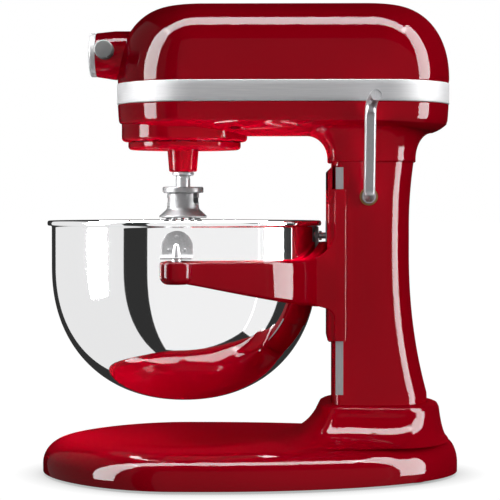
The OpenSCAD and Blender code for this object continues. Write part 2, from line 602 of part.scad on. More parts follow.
// Each whisk wire is a pear-shaped loop through the axis, a little longer than the last
loops = 6;
wire_steps = 15;
wire_start = 20;
wire_socket = 4;
whisk_length = 146;
function wire_depth(i) = (whisk_length - 2.7 * i) / (1 + cos(wire_start));
function wire_point(i, t, side) = let (b = wire_depth(i), r = side * whisk_r * sin(t) * (1 - 0.18 * cos(t)),
    a = 180 * i / loops) [r * cos(a), r * sin(a), whisk_z + b * (cos(t) - cos(wire_start))];
function wire_end(i, side) = [for (d = [wire_socket, -0.6]) wire_point(i, wire_start, side) + [0, 0, d]];
function wire_path(i) = concat(wire_end(i, 1),
    [for (k = [1 : wire_steps]) wire_point(i, lerp(wire_start, 180, k / wire_steps), 1)],
    [for (k = [wire_steps - 1 : -1 : 1]) wire_point(i, lerp(wire_start, 180, k / wire_steps), -1)],
    [wire_end(i, -1)[1], wire_end(i, -1)[0]]);
module whisk_wires() color(STEEL) translate(beater_at) for (i = [0 : loops - 1])
    loft(tube_rings(wire_path(i), [-sin(180 * i / loops), cos(180 * i / loops), 0], wire_r, 6));

/* ---- motor ---- */
rotor_mid = 83;
rotor_x0 = rotor_mid - rotor_length / 2;
rotor_x1 = rotor_mid + rotor_length / 2;
motor_shaft_r = 4.5;
motor_half = 38;
bearing_r = 11;
rear_bracket_x = rotor_x1 + 31;
front_bracket_x = rotor_x0 - 32;
tie_at = [[0, 32, 32], [0, -32, 32], [0, 32, -32], [0, -32, -32]];
module on_motor() translate([0, 0, motor_z]) children();
module motor_shaft() color(STEEL) on_motor() rod_x(motor_shaft_r, worm_end + 0.3, rear_bracket_x + 10);
module rotor_core() color(DARK) on_motor() tube_x(rotor_r, motor_shaft_r + 0.02, rotor_x0, rotor_x1);
module commutator() color(COPPER) on_motor() tube_x(14, motor_shaft_r + 0.02, rotor_x1 + 12, rotor_x1 + 26);
module cooling_fan() color(DARK) on_motor() {
    tube_x(34, motor_shaft_r + 0.02, rotor_x0 - 14.5, rotor_x0 - 12.5);
    for (a = [0 : 45 : 315]) rotate([a, 0, 0]) translate([rotor_x0 - 23, 12, -0.8]) cube([8.6, 21, 1.6]);
    tube_x(12.5, motor_shaft_r + 0.02, rotor_x0 - 23, rotor_x0 - 14.4);
}
module motor_stator() color(STEEL) on_motor() difference() {
    translate([rotor_x0, -motor_half, -motor_half]) cube([rotor_length, 2 * motor_half, 2 * motor_half]);
    rod_x(rotor_r + 0.7, rotor_x0 - 1, rotor_x1 + 1);
    for (s = [-1, 1]) translate([rotor_x0 - 1, s * 29 - 4, -15]) cube([rotor_length + 2, 8, 30]);
    for (p = tie_at) translate(p) rod_x(2.6, rotor_x0 - 1, rotor_x1 + 1);
}
module field_coils() color(COPPER) on_motor() for (s = [-1, 1]) difference() {
    translate([rotor_x0 - 8, s * 29 - 3.8, -14.8]) cube([rotor_length + 16, 7.6, 29.6]);
    translate([rotor_x0 - 1, s * 29 - 1.5, -11]) cube([rotor_length + 2, 3, 22]);
}
module motor_bracket(x) difference() {
    translate([x, 2 - motor_half, 3 - motor_half]) cube([5, 2 * motor_half - 4, 2 * motor_half - 5]);
    rod_x(bearing_r + bolt_fit, x - 1, x + 6);
    for (s = [-1, 1]) translate([x - 1, s * 25 - 6, -12]) cube([7, 12, 24]);
    for (p = tie_at) translate(p) rod_x(2.55, x - 1, x + 6);
}
module motor_brackets() color(STEEL) on_motor() {
    motor_bracket(front_bracket_x);
    motor_bracket(rear_bracket_x);
}
module tie_rods() color(STEEL) on_motor() for (p = tie_at) translate(p)
    rod_x(2.5, front_bracket_x - 3, rear_bracket_x + 8);
module motor_bearings() color(BRIGHT) on_motor() for (x = [front_bracket_x, rear_bracket_x])
    tube_x(bearing_r, motor_shaft_r + run_fit, x, x + 5);
module brush_holders() color(BRASS) on_motor() for (s = [-1, 1]) difference() {
    translate([rotor_x1 + 14, s > 0 ? 16 : -30, -5]) cube([17, 14, 10]);
    translate([rotor_x1 + 15.8, s > 0 ? 15 : -31, -3.2]) cube([6.4, 16, 6.4]);
}
module carbon_brushes() color(DARK) on_motor() for (s = [-1, 1])
    translate([rotor_x1 + 16, s > 0 ? 14.3 : -27.3, -3]) cube([6, 13, 6]);

/* ---- speed control ---- */
control_y = 44.5;
control_x = [30, 112];
module speed_switch() color(DARK) translate([control_x[0], control_y, floor_z + 0.6])
    cube([control_x[1] - control_x[0], 5, band_z + 13 - floor_z]);
module control_board() color([0.1, 0.35, 0.2]) translate([control_x[0], control_y - 2, floor_z + 0.6])
    cube([control_x[1] - control_x[0], 1.7, band_z + 16 - floor_z]);
lever_y = head_w + 4;
module speed_lever() color(DARK) translate([lever_slot[0] + 2, 0, band_z + 9.5]) {
    translate([0, control_y + 5.3, -6]) cube([8, 2, 12]);
    translate([1, control_y + 6, -2.5]) cube([6, lever_y - control_y - 5, 5]);
    translate([4, 0, 0]) rotate([-90, 0, 0]) rotate_extrude() polygon([[0, lever_y], [6, lever_y],
        [8.5, lever_y + 4], [9, lever_y + 9], [7.5, lever_y + 13], [4, lever_y + 15], [0, lever_y + 15.5]]);
}

/* ---- bowl lift ---- */
lever_y0 = -column_half - 3;
lever_y1 = -head_w - 9;
lever_top = 86;
module axle_bush() color(BRASS) translate([axle_x, 0, axle_z]) rotate([90, 0, 0])
    tube_z(bush_r, axle_r + run_fit, -bush_end, column_half - 2);
module lever_axle() color(STEEL) translate([axle_x, 0, axle_z]) rod_y(axle_r, lever_y0, crank_y + 4);
module lift_crank() color(STEEL) translate([axle_x, 0, axle_z]) difference() {
    union() {
        rod_y(10, crank_y - 4, crank_y + 4);
        rotate([0, -lever_swing / 2, 0]) translate([0, crank_y - 3.5, -6]) cube([crank_arm, 7, 12]);
        rotate([0, -lever_swing / 2, 0]) translate([crank_arm, 0, 0]) rod_y(6, crank_y - 3.5, crank_y + 3.5);
        rotate([0, -lever_swing / 2, 0]) translate([crank_arm, 0, 0]) rod_y(2.5, crank_y, carriage_w / 2);
    }
    rod_y(axle_r + 0.02, crank_y - 10, crank_y + 10);
}
module crank_roller() color(BRASS) translate(roller_at) rotate([-90, 0, 0])
    tube_z(roller_r, 2.5 + 0.02, crank_y + 4, carriage_w / 2);

lever_path = [[0, lever_y0 - 0.05, 0], [0, lever_y0 - 1.6, 0], [0, lever_y0 - 2.9, 0.7],
    [0, lever_y0 - 4.8, 2.6], [0, lever_y0 - 6.6, 6], [0, lerp(lever_y0 - 6.6, lever_y1, 0.33), 28],
    [0, lerp(lever_y0 - 6.6, lever_y1, 0.67), 50], [0, lever_y1, lever_top - 14],
    [0.8, lever_y1 - 3, lever_top - 7], [2, lever_y1 - 8, lever_top - 3],
    [3.2, lever_y1 - 14, lever_top - 1.2], [4.4, lever_y1 - 20, lever_top - 0.5]];
module lift_lever() color(STEEL) translate([axle_x, 0, axle_z])
    loft(tube_rings(lever_path, [1, 0, 0], lever_r, 12));

/* ---- yoke, carriage and bowl ---- */
web_back = column_front - seat_gap;
web_t = 4;
web_front = web_back - web_t;
flange_y = column_half + rail_t + seat_gap;
yoke_half = flange_y + wall - 1;
yoke_low = neck_z - 157;
yoke_top = neck_z - 4.5;
pin_boss_r = 13.8;
pin_boss_y = base_w - pin_boss_r - 0.05;
pin_boss_z = [rim_z - 52.5, rim_z - 33.4];
arm_in = bowl_r + 2;
arm_out = arm_in + 9;
carriage_w = 12;
slot_half = roller_r + 1.3;

module yoke_arms() intersection() {
    translate([axis_x, 0, 0]) tube_z(arm_out, arm_in, yoke_low, neck_z);
    side_prism([[axis_x, pin_boss_z[0] + 2], [axis_x, pin_boss_z[1]], [web_front - 19, pin_boss_z[1]],
        [web_front - 11, pin_boss_z[1] + 3], [web_front - 3, pin_boss_z[1] + 10],
        [web_front + 2, pin_boss_z[1] + 22], [web_front + 2, rim_z - 76], [web_front - 6, rim_z - 75.5]],
        -base_w, base_w);
}
module bowl_yoke() color(RED) difference() {
    union() {
        yoke_arms();
        side_prism([[web_back, yoke_low], [web_front + 2, yoke_low], [web_front, yoke_low + 3],
            [web_front, yoke_top - 4], [web_back - 0.5, yoke_top], [web_back, yoke_top]], -yoke_half, yoke_half);
        for (y = [flange_y, -yoke_half]) translate([web_front + 1, y, yoke_low + 1])
            cube([18, wall - 1, neck_z - 24 - yoke_low]);
        for (s = [-1, 1]) translate([axis_x, s * pin_boss_y, 0]) rotate_extrude()
            polygon([[0, pin_boss_z[0]], [pin_boss_r - 3, pin_boss_z[0]],
                [pin_boss_r - 0.8, pin_boss_z[0] + 1.2],
                [pin_boss_r, pin_boss_z[0] + 4], [pin_boss_r, pin_boss_z[1]], [0, pin_boss_z[1]]]);
    }
    translate([axis_x, 0, bowl_z]) cylinder(r = bowl_r + 0.8, h = bowl_height);
    for (s = [-1, 1]) translate([axis_x, s * pin_boss_y, pin_boss_z[1] - 10])
        cylinder(r = pin_r + bolt_fit, h = 20);
    translate([web_front - 14, -14, latch_z - 15]) cube([14, 28, 60]);
    translate([web_front - 1, -carriage_w / 2 - bolt_fit, carriage_z[0] - bolt_fit])
        cube([web_t + 2, carriage_w + 2 * bolt_fit, 20 + 2 * bolt_fit]);
}
module locating_pins() color(BRIGHT) for (s = [-1, 1]) translate([axis_x, s * pin_boss_y, 0])
    rotate_extrude() polygon([[0, pin_boss_z[1] - 9], [pin_r, pin_boss_z[1] - 9], [pin_r, pin_boss_z[1] + 5],
        [pin_r * 0.55, pin_boss_z[1] + 14], [pin_r * 0.3, pin_boss_z[1] + 15], [0, pin_boss_z[1] + 15]]);

// The carriage runs back from the yoke's web to the crank's roller
carriage_z = [rim_z - 14, roller_at.z + 9];
module lift_carriage() color(STEEL) difference() {
    side_prism([[web_front, carriage_z[0]], [web_back + 5, carriage_z[0]], [web_back + 18, roller_at.z - 9],
        [roller_at.x + 10, roller_at.z - 9], [roller_at.x + 10, carriage_z[1]], [web_back + 1, carriage_z[1]],
        [web_back + 1, carriage_z[0] + 20], [web_front, carriage_z[0] + 20]],
        -carriage_w / 2, carriage_w / 2);
    translate([roller_at.x - 6, -10, roller_at.z - slot_half])
        cube([crank_arm * (1 - cos(lever_swing / 2)) + 12, 20, 2 * slot_half]);
}
latch_z = rim_z - 13.5;
module latch_spring() color(BRIGHT) difference() {
    translate([web_front - 0.9, -9, latch_z - 13]) cube([0.8, 18, 26]);
    translate([0, 0, latch_z]) rod_x(3.5, web_front - 5, web_front + 2);
}

bowl_power = 2 / 2.2;
function bowl_side(d) = [for (t = [90 : -6 : 0]) let (h = bowl_height - 40.5)
    [(bowl_r - d) * pow(cos(t), bowl_power), bowl_z + h - (h - d) * pow(sin(t), bowl_power)]];
module bowl() color(BRIGHT) translate([axis_x, 0, 0]) rotate_extrude() polygon(concat(bowl_side(0),
    [[bowl_r, rim_z - 4.5], [bowl_r + 3.4, rim_z - 4.2], [bowl_r + 3.9, rim_z - 2.4],
        [bowl_r + 3, rim_z - 0.4], [bowl_r + 1, rim_z], [bowl_r - bowl_wall, rim_z - 1]],
    [for (i = [len(bowl_side(0)) - 1 : -1 : 0]) bowl_side(bowl_wall)[i]]));

lip_z = pin_boss_z[1] + 2;
bracket_half = 13.4;
module side_brackets() for (s = [-1, 1]) translate([axis_x, 0, 0]) difference() {
    union() {
        intersection() {
            tube_z(bowl_r + 1.6, bowl_r + 0.1, lip_z, lip_z + 24);
            translate([0, s > 0 ? bowl_r + 5 : -bowl_r + 20, lip_z]) rotate([90, 0, 0]) linear_extrude(25) {
                translate([-bracket_half, 0]) square([2 * bracket_half, 10]);
                translate([0, 10]) circle(r = bracket_half);
            }
        }
        translate([-bracket_half, s > 0 ? bowl_r - 5 : -bowl_r - 16, lip_z]) cube([2 * bracket_half, 21, 1.6]);
    }
    translate([0, 0, lip_z - 1]) cylinder(r = bowl_r + 0.1, h = 30);
    translate([0, s * pin_boss_y, lip_z - 1]) cylinder(r = pin_r + 0.4, h = 4);
}
module bowl_brackets() color(STEEL) {
    side_brackets();
    rear_bracket();
}
module rear_bracket() translate([axis_x, 0, 0]) {
    difference() {
        intersection() {
            tube_z(bowl_r + 1.6, bowl_r + 0.1, latch_z - 13, latch_z + 8);
            translate([bowl_r - 10, -11, 0]) cube([20, 22, neck_z]);
        }
        translate([0, 0, latch_z]) rod_x(2.5, bowl_r - 5, bowl_r + 5);
    }
    translate([bowl_r + 1, -11, latch_z - 13]) cube([4.5, 22, 1.2]);
}
module latch_stud() color(BRIGHT) translate([axis_x, 0, latch_z]) {
    rod_x(2.45, bowl_r + 0.1, bowl_r + 2);
    rod_x(4.2, bowl_r + 1.9, bowl_r + 4.2);
    rod_x(2.8, bowl_r + 4.1, web_front - axis_x - 0.2);
}

base_casting();
rubber_feet();
casting_bolts();
column_casting();
slide_rails();
lower_housing();
upper_housing();
trim_band();
housing_screws();
cord_inlet();
hub_nose();
ring_gear();
gearcase_bracket();
shaft_bushes();
motor_stator();
field_coils();
motor_brackets();
tie_rods();
motor_bearings();
brush_holders();
carbon_brushes();
speed_switch();
control_board();
axle_bush();
planetary_housing();
planetary_pin();
beater_bush();
centre_shaft();
centre_gear();
centre_bevel();
beater_shaft();
planet_pinion();
beater_collar();
drive_pin();
whisk_hub();
whisk_wires();
motor_shaft();
rotor_core();
commutator();
cooling_fan();
worm();
worm_gear();
pinion_gear();
gear_axle();
hub_drive_shaft();
hub_bevel();
hub_cap();
attachment_knob();
speed_lever();
lift_lever();
lever_axle();
lift_crank();
crank_roller();
bowl_yoke();
locating_pins();
lift_carriage();
latch_spring();
bowl();
bowl_brackets();
latch_stud();
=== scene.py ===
# Looks of the bowl-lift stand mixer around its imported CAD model. The object's lengths are in mm until a mesh
# is made. The camera, the stage and Blender work in metres.
import json
import math

import bmesh
import bpy
import numpy as np
from mathutils import Matrix, Vector


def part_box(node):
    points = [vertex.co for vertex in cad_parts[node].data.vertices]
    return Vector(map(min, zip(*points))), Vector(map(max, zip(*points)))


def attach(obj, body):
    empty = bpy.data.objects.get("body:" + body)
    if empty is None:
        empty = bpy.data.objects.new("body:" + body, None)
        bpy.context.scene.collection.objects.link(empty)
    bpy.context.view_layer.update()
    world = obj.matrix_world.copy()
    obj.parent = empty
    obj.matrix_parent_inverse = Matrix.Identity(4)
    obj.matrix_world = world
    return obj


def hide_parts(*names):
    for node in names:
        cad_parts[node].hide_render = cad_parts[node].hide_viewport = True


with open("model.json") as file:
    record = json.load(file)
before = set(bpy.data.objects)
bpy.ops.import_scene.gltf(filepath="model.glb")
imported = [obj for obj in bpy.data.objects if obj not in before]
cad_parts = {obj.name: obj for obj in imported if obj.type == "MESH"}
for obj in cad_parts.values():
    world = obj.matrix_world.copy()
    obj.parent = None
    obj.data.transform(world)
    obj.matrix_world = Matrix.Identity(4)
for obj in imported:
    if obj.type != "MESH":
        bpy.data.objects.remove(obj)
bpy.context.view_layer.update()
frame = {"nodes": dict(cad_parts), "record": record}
NODES = frame["nodes"]
MM = 0.001
scene = bpy.context.scene


# ---- camera ----
LENS_MM, SENSOR_MM = 145, 36
CAMERA_AT, CAMERA_AIM = Vector((0.038, -1.8, 0.239)), Vector((0, 0, 0.199))


def make_camera():
    data = bpy.data.cameras.new("camera")
    data.lens = LENS_MM
    data.sensor_width = SENSOR_MM
    cam = bpy.data.objects.new("camera", data)
    cam.location = CAMERA_AT
    cam.rotation_euler = (CAMERA_AIM - CAMERA_AT).to_track_quat("-Z", "Y").to_euler()
    scene.collection.objects.link(cam)
    scene.camera = cam


make_camera()


# ---- materials ----
RAMP_ENDS = (0.3, 0.7)


def shader_of(mat):
    return mat.node_tree.nodes["Principled BSDF"]


def node_material(name, color, rough, metallic=0.0, coat=0.0, coat_rough=0.03, specular=0.5):
    mat = bpy.data.materials.new(name)
    mat.use_nodes = True
    values = {"Base Color": (*color, 1), "Roughness": rough, "Metallic": metallic, "Coat Weight": coat,
              "Coat Roughness": coat_rough, "Specular IOR Level": specular}
    for socket, value in values.items():
        shader_of(mat).inputs[socket].default_value = value
    return mat


def noise(mat, scale, stretch=(1, 1, 1), detail=4.0):
    """A noise texture in object space. Returns its output socket."""
    tree = mat.node_tree
    coord = tree.nodes.new("ShaderNodeTexCoord")
    mapping = tree.nodes.new("ShaderNodeMapping")
    mapping.inputs["Scale"].default_value = stretch
    tree.links.new(coord.outputs["Object"], mapping.inputs["Vector"])
    tex = tree.nodes.new("ShaderNodeTexNoise")
    tex.inputs["Scale"].default_value = scale
    tex.inputs["Detail"].default_value = detail
    tree.links.new(mapping.outputs["Vector"], tex.inputs["Vector"])
    return tex.outputs["Fac"]


def add_bump(mat, height, strength, distance):
    tree = mat.node_tree
    bump = tree.nodes.new("ShaderNodeBump")
    bump.inputs["Strength"].default_value = strength
    bump.inputs["Distance"].default_value = distance
    tree.links.new(height, bump.inputs["Height"])
    tree.links.new(bump.outputs["Normal"], shader_of(mat).inputs["Normal"])


def add_roughness(mat, source, low, high):
    tree = mat.node_tree
    span = tree.nodes.new("ShaderNodeMapRange")
    span.inputs["To Min"].default_value = low
    span.inputs["To Max"].default_value = high
    tree.links.new(source, span.inputs["Value"])
    tree.links.new(span.outputs["Result"], shader_of(mat).inputs["Roughness"])


def add_colours(mat, source, dark, light):
    tree = mat.node_tree
    ramp = tree.nodes.new("ShaderNodeValToRGB")
    for stop, position, color in zip(ramp.color_ramp.elements, RAMP_ENDS, (dark, light)):
        stop.position = position
        stop.color = (*color, 1)
    tree.links.new(source, ramp.inputs["Fac"])
    tree.links.new(ramp.outputs["Color"], shader_of(mat).inputs["Base Color"])


def red_enamel():
    """Deep red under a thin clear coat, a little uneven in colour and surface."""
    mat = node_material("red_enamel", (0.4, 0.0, 0.009), 0.4, coat=0.125, coat_rough=0.015, specular=0.0)
    add_colours(mat, noise(mat, 9), (0.385, 0.0, 0.008), (0.42, 0.0, 0.01))
    add_bump(mat, noise(mat, 260, detail=1), 0.025, 0.0004)
    return mat


def brushed(name, color, rough, stretch, strength=0.25, metallic=1.0):
    mat = node_material(name, color, rough, metallic=metallic)
    lines = noise(mat, 40, stretch, detail=6)
    add_bump(mat, lines, strength, 0.0002)
    add_roughness(mat, lines, rough - 0.07, rough + 0.07)
    add_colours(mat, lines, [0.9 * c for c in color], [min(1, 1.06 * c) for c in color])
    return mat


def mirror_steel():
    mat = node_material("polished_bowl", (0.96, 0.96, 0.965), 0.035, metallic=1.0)
    lines = noise(mat, 30, (1, 1, 40), detail=3)
    add_roughness(mat, lines, 0.02, 0.06)
    add_bump(mat, lines, 0.01, 0.0002)
    return mat


def grained(name, color, rough, scale, strength, coat=0.0, metallic=0.0):
    mat = node_material(name, color, rough, metallic=metallic, coat=coat)
    grain = noise(mat, scale, detail=3)
    add_bump(mat, grain, strength, 0.0003)
    add_roughness(mat, grain, rough - 0.06, rough + 0.06)
    add_colours(mat, grain, [0.88 * c for c in color], [min(1, 1.1 * c) for c in color])
    return mat


MATERIALS = {
    "red_enamel": red_enamel(),
    "brushed_band": brushed("brushed_band", (0.32, 0.32, 0.33), 0.65, (1.2, 1.2, 70), metallic=0.04),
    "polished_bowl": mirror_steel(),
    "cap_face": brushed("cap_face", (0.34, 0.34, 0.35), 0.65, (30, 1, 60), metallic=0.04),
    "whisk_steel": brushed("whisk_steel", (0.11, 0.11, 0.113), 0.42, (2, 2, 90), strength=0.15, metallic=0.3),
    "polished_wire": brushed("polished_wire", (0.4, 0.4, 0.41), 0.2, (20, 20, 20), strength=0.03, metallic=0.6),
    "satin_steel": brushed("satin_steel", (0.27, 0.27, 0.28), 0.38, (30, 30, 3), strength=0.12, metallic=0.5),
    "machined_steel": brushed("machined_steel", (0.3, 0.3, 0.31), 0.35, (2, 2, 60), strength=0.1, metallic=0.5),
    "bracket_alloy": grained("bracket_alloy", (0.25, 0.25, 0.255), 0.6, 500, 0.3, metallic=0.15),
    "bronze": brushed("bronze", (0.4, 0.24, 0.1), 0.5, (2, 2, 60), strength=0.1),
    "copper_wire": brushed("copper_wire", (0.6, 0.25, 0.12), 0.35, (60, 3, 60), strength=0.4),
    "laminations": brushed("laminations", (0.15, 0.15, 0.16), 0.5, (90, 2, 2), strength=0.4),
    "carbon": grained("carbon", (0.03, 0.03, 0.03), 0.7, 900, 0.2),
    "rubber_foot": grained("rubber_foot", (0.025, 0.025, 0.025), 0.75, 700, 0.3),
    "black_plastic": grained("black_plastic", (0.014, 0.014, 0.015), 0.6, 900, 0.2),
    "circuit_board": grained("circuit_board", (0.03, 0.16, 0.07), 0.35, 60, 0.1, coat=0.5),
}
SLOT_OF = {s["node"]: s["material_slot"] for s in frame["record"]["subparts"]}
for name, obj in NODES.items():
    for slot in obj.material_slots:
        slot.material = MATERIALS[SLOT_OF[name]]


# ---- mesh tools ----
SHARP_DEG = 32    # edges that turn by more than this stay sharp, unless a piece says otherwise
CASTING_SHARP = 40
MERGE_M = 1e-6
NEARLY_STRAIGHT = 0.02    # radians: a corner that turns by less than twice this is left as it is
SIDE_SHARE = 0.49         # the most of its shorter side that a rounding may take


def shade(mesh, sharp_deg=SHARP_DEG):
    mesh.shade_smooth()
    mesh.set_sharp_from_angle(angle=math.radians(sharp_deg))


def mesh_object(name, verts, faces, sharp_deg=SHARP_DEG):
    """An object from vertices in mm, with its double points merged and its faces turned outward."""
    mesh = bpy.data.meshes.new(name)
    mesh.from_pydata([tuple(c * MM for c in v) for v in verts], [], faces)
    mesh.validate()
    bm = bmesh.new()
    bm.from_mesh(mesh)
    bmesh.ops.remove_doubles(bm, verts=bm.verts, dist=MERGE_M)
    bmesh.ops.recalc_face_normals(bm, faces=bm.faces)
    bm.to_mesh(mesh)
    bm.free()
    shade(mesh, sharp_deg)
    obj = bpy.data.objects.new(name, mesh)
    scene.collection.objects.link(obj)
    return obj


def grid_faces(rows, columns, rows_looped, columns_looped):
    faces = []
    for i in range(rows if rows_looped else rows - 1):
        a, b = i * columns, (i + 1) % rows * columns
        for j in range(columns if columns_looped else columns - 1):
            k = (j + 1) % columns
            faces.append((a + j, b + j, b + k, a + k))
    return faces


def loft(name, rings, looped=False, sharp_deg=SHARP_DEG):
    """A skin over closed rings of points, with flat ends unless the last ring joins the first."""
    m, n = len(rings), len(rings[0])
    faces = grid_faces(m, n, looped, True)
    if not looped:
        faces.append(tuple(range(n)))
        faces.append(tuple((m - 1) * n + j for j in reversed(range(n))))
    return mesh_object(name, [p for row in rings for p in row], faces, sharp_deg)


def revolve(name, profile, at=(0, 0, 0), axis="z", sides=128, closed=False, sharp_deg=SHARP_DEG):
    """A turned solid: profile is (radius, height along the axis) pairs."""
    rows = []
    for k in range(sides):
        a = 2 * math.pi * k / sides
        c, s = math.cos(a), math.sin(a)
        row = []
        for r, h in profile:
            p = {"z": (r * c, r * s, h), "x": (h, r * c, r * s), "y": (r * s, h, r * c)}[axis]
            row.append((p[0] + at[0], p[1] + at[1], p[2] + at[2]))
        rows.append(row)
    faces = grid_faces(sides, len(profile), True, closed)
    return mesh_object(name, [p for row in rows for p in row], faces, sharp_deg)


def cutter(name, r, lo, hi, at=(0, 0, 0), axis="z", sides=128):
    """A plain cylinder to cut with."""
    return revolve(name, [(0, lo), (r, lo), (r, hi), (0, hi)], at, axis, sides)


def rounded(points, radii, seg=7, closed=False):
    """The 2-D outline with its corners rounded, by one radius for each point."""
    pts = [np.array(p, float) for p in points]
    n = len(pts)
    out = []
    for i in range(n):
        if (not closed and i in (0, n - 1)) or radii[i] <= 0:
            out.append(tuple(pts[i]))
            continue
        p, a, b = pts[i], pts[i - 1], pts[(i + 1) % n]
        u, v = (a - p) / np.linalg.norm(a - p), (b - p) / np.linalg.norm(b - p)
        half = math.acos(max(-1, min(1, float(u @ v)))) / 2
        if half > math.pi / 2 - NEARLY_STRAIGHT:
            out.append(tuple(p))
            continue
        shorter = min(np.linalg.norm(a - p), np.linalg.norm(b - p))
        r = min(radii[i], SIDE_SHARE * shorter * math.tan(half))
        centre = p + (u + v) / np.linalg.norm(u + v) * r / math.sin(half)
        start, end = p + u * r / math.tan(half) - centre, p + v * r / math.tan(half) - centre
        a0, a1 = math.atan2(start[1], start[0]), math.atan2(end[1], end[0])
        turn = (a1 - a0 + math.pi) % (2 * math.pi) - math.pi
        for k in range(seg + 1):
            t = a0 + turn * k / seg
            out.append((centre[0] + r * math.cos(t), centre[1] + r * math.sin(t)))
    return out


def smooth_path(points, per):
    """A Catmull-Rom curve through the points, with so many steps from each to the next."""
    pts = [np.array(p, float) for p in points]
    out = []
    for i in range(len(pts) - 1):
        p1, p2 = pts[i], pts[i + 1]
        p0 = pts[i - 1] if i else 2 * p1 - p2
        p3 = pts[i + 2] if i + 2 < len(pts) else 2 * p2 - p1
        for k in range(per):
            t = k / per
            out.append(0.5 * (2 * p1 + (p2 - p0) * t + (2 * p0 - 5 * p1 + 4 * p2 - p3) * t * t
                              + (3 * p1 - p0 - 3 * p2 + p3) * t ** 3))
    out.append(pts[-1])
    return [tuple(p) for p in out]


def path_frame(pts, i, across):
    """The path's direction at its point i, and the part of across that is square to it, both of length 1."""
    along = pts[min(i + 1, len(pts) - 1)] - pts[max(i - 1, 0)]
    along /= np.linalg.norm(along)
    u = across - along * (across @ along)
    u /= np.linalg.norm(u)
    return along, u


def tube(name, path, radius, across, sides):
    """A round tube along a path that lies in a plane square to across."""
    pts = [np.array(p, float) for p in path]
    rings = []
    for i, p in enumerate(pts):
        along, u = path_frame(pts, i, np.array(across, float))
        w = np.cross(along, u)
        rings.append([tuple(p + radius * (math.cos(t) * u + math.sin(t) * w))
                      for t in (2 * math.pi * k / sides for k in range(sides))])
    return loft(name, rings)


def apply_modifier(obj, kind, **values):
    mod = obj.modifiers.new(kind, kind)
    for key, value in values.items():
        setattr(mod, key, value)
    graph = bpy.context.evaluated_depsgraph_get()
    mesh = bpy.data.meshes.new_from_object(obj.evaluated_get(graph))
    obj.modifiers.clear()
    obj.data = mesh


def bevel(obj, width, segments=3, limit=30):
    """Rounds the edges that turn by more than limit degrees."""
    apply_modifier(obj, "BEVEL", width=width * MM, segments=segments, limit_method="ANGLE",
                   angle_limit=math.radians(limit))
    shade(obj.data)


def combine(obj, other, operation="DIFFERENCE", sharp_deg=SHARP_DEG):
    apply_modifier(obj, "BOOLEAN", object=other, operation=operation, solver="EXACT")
    bpy.data.objects.remove(other)
    shade(obj.data, sharp_deg)


def box(name, lo, hi, r=0.0):
    verts = [(x, y, z) for x in (lo[0], hi[0]) for y in (lo[1], hi[1]) for z in (lo[2], hi[2])]
    faces = [(0, 1, 3, 2), (4, 6, 7, 5), (0, 4, 5, 1), (2, 3, 7, 6), (0, 2, 6, 4), (1, 5, 7, 3)]
    obj = mesh_object(name, verts, faces)
    if r:
        bevel(obj, r)
    return obj


def prism(name, outline_2d, y0, y1):
    """An outline in X and Z, drawn out from y0 to y1."""
    return loft(name, [[(x, y, z) for x, z in outline_2d] for y in (y0, y1)])


def join(objs, name):
    base = objs[0]
    bm = bmesh.new()
    for o in objs:
        bm.from_mesh(o.data)
    mesh = bpy.data.meshes.new(name)
    bm.to_mesh(mesh)
    bm.free()
    for o in objs[1:]:
        bpy.data.objects.remove(o)
    base.data = mesh
    base.name = name
    shade(mesh)
    return base


def finish_piece(obj, body, look, *nodes):
    """Gives a piece its look and its body, and hides the CAD nodes it stands for."""
    obj.data.materials.clear()
    obj.data.materials.append(MATERIALS[look])
    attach(obj, body)
    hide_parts(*nodes)


# ---- the plan outlines and heights of part.scad, at finer steps ----
NOSE_STEPS = 40
SIDE_STEPS = 16
NOSE_SHARE = 0.8    # how much an inset shortens a nose


def lerp(a, b, s):
    return a + (b - a) * s


def cosd(t):
    return math.cos(math.radians(t))


def sind(t):
    return math.sin(math.radians(t))


def power(base, e):
    return max(base, 0.0) ** e


def nose(a, w, e, pinch, t):
    return a * power(cosd(t), e), w * power(sind(t), e) * (1 - pinch * power(cosd(t), 2 * e))


def outline(plan):
    """A plan's points. A plan is its front and rear X, the lengths of its two noses, its half widths where they
    start, the exponents of their curves, and the pinch of the front one."""
    front, rear, front_nose, rear_nose, front_half, rear_half, front_e, rear_e, pinch = plan
    half = []
    for i in range(NOSE_STEPS + 1):
        x, y = nose(rear_nose, rear_half, rear_e, 0, 90 * i / NOSE_STEPS)
        half.append((rear - rear_nose + x, y))
    for i in range(1, SIDE_STEPS + 1):
        s = i / (SIDE_STEPS + 1)
        half.append((lerp(rear - rear_nose, front + front_nose, s),
                     lerp(rear_half, front_half, (1 - cosd(180 * s)) / 2)))
    for i in range(NOSE_STEPS, -1, -1):
        x, y = nose(front_nose, front_half, front_e, pinch, 90 * i / NOSE_STEPS)
        half.append((front + front_nose - x, y))
    return half + [(x, -y) for x, y in half[-2:0:-1]]


def ring(plan, z):
    return [(x, y, z) for x, y in outline(plan)]


def inset(plan, d):
    front, rear, front_nose, rear_nose, front_half, rear_half, *shape = plan
    return [front + d, rear - d, front_nose - d * NOSE_SHARE, rear_nose - d * NOSE_SHARE,
            front_half - d, rear_half - d, *shape]


def edge_rings(plan, z, r, angles):
    """The rounded lower edge of a wall, from its flat underside at z to the full plan."""
    return [ring(inset(plan, r * (1 - sind(a))), z + r - r * cosd(a)) for a in angles]


WALL = 5
SOCKET_PLAY = 0.3
EDGE_R = 1.2
# heights
SOCKET_Z = 46
NECK_Z = 277
BELLY_Z = 300.8
SIDE_Z = 312.7
INLET_Z = 317.6
BAND_Z = 328.3
CROWN_Z = 347
HUB_Z = 373
BLOCK_Z = 295.5
DISC_Z = 288.4
RIM_Z = 225.5
BOWL_Z = 65.5
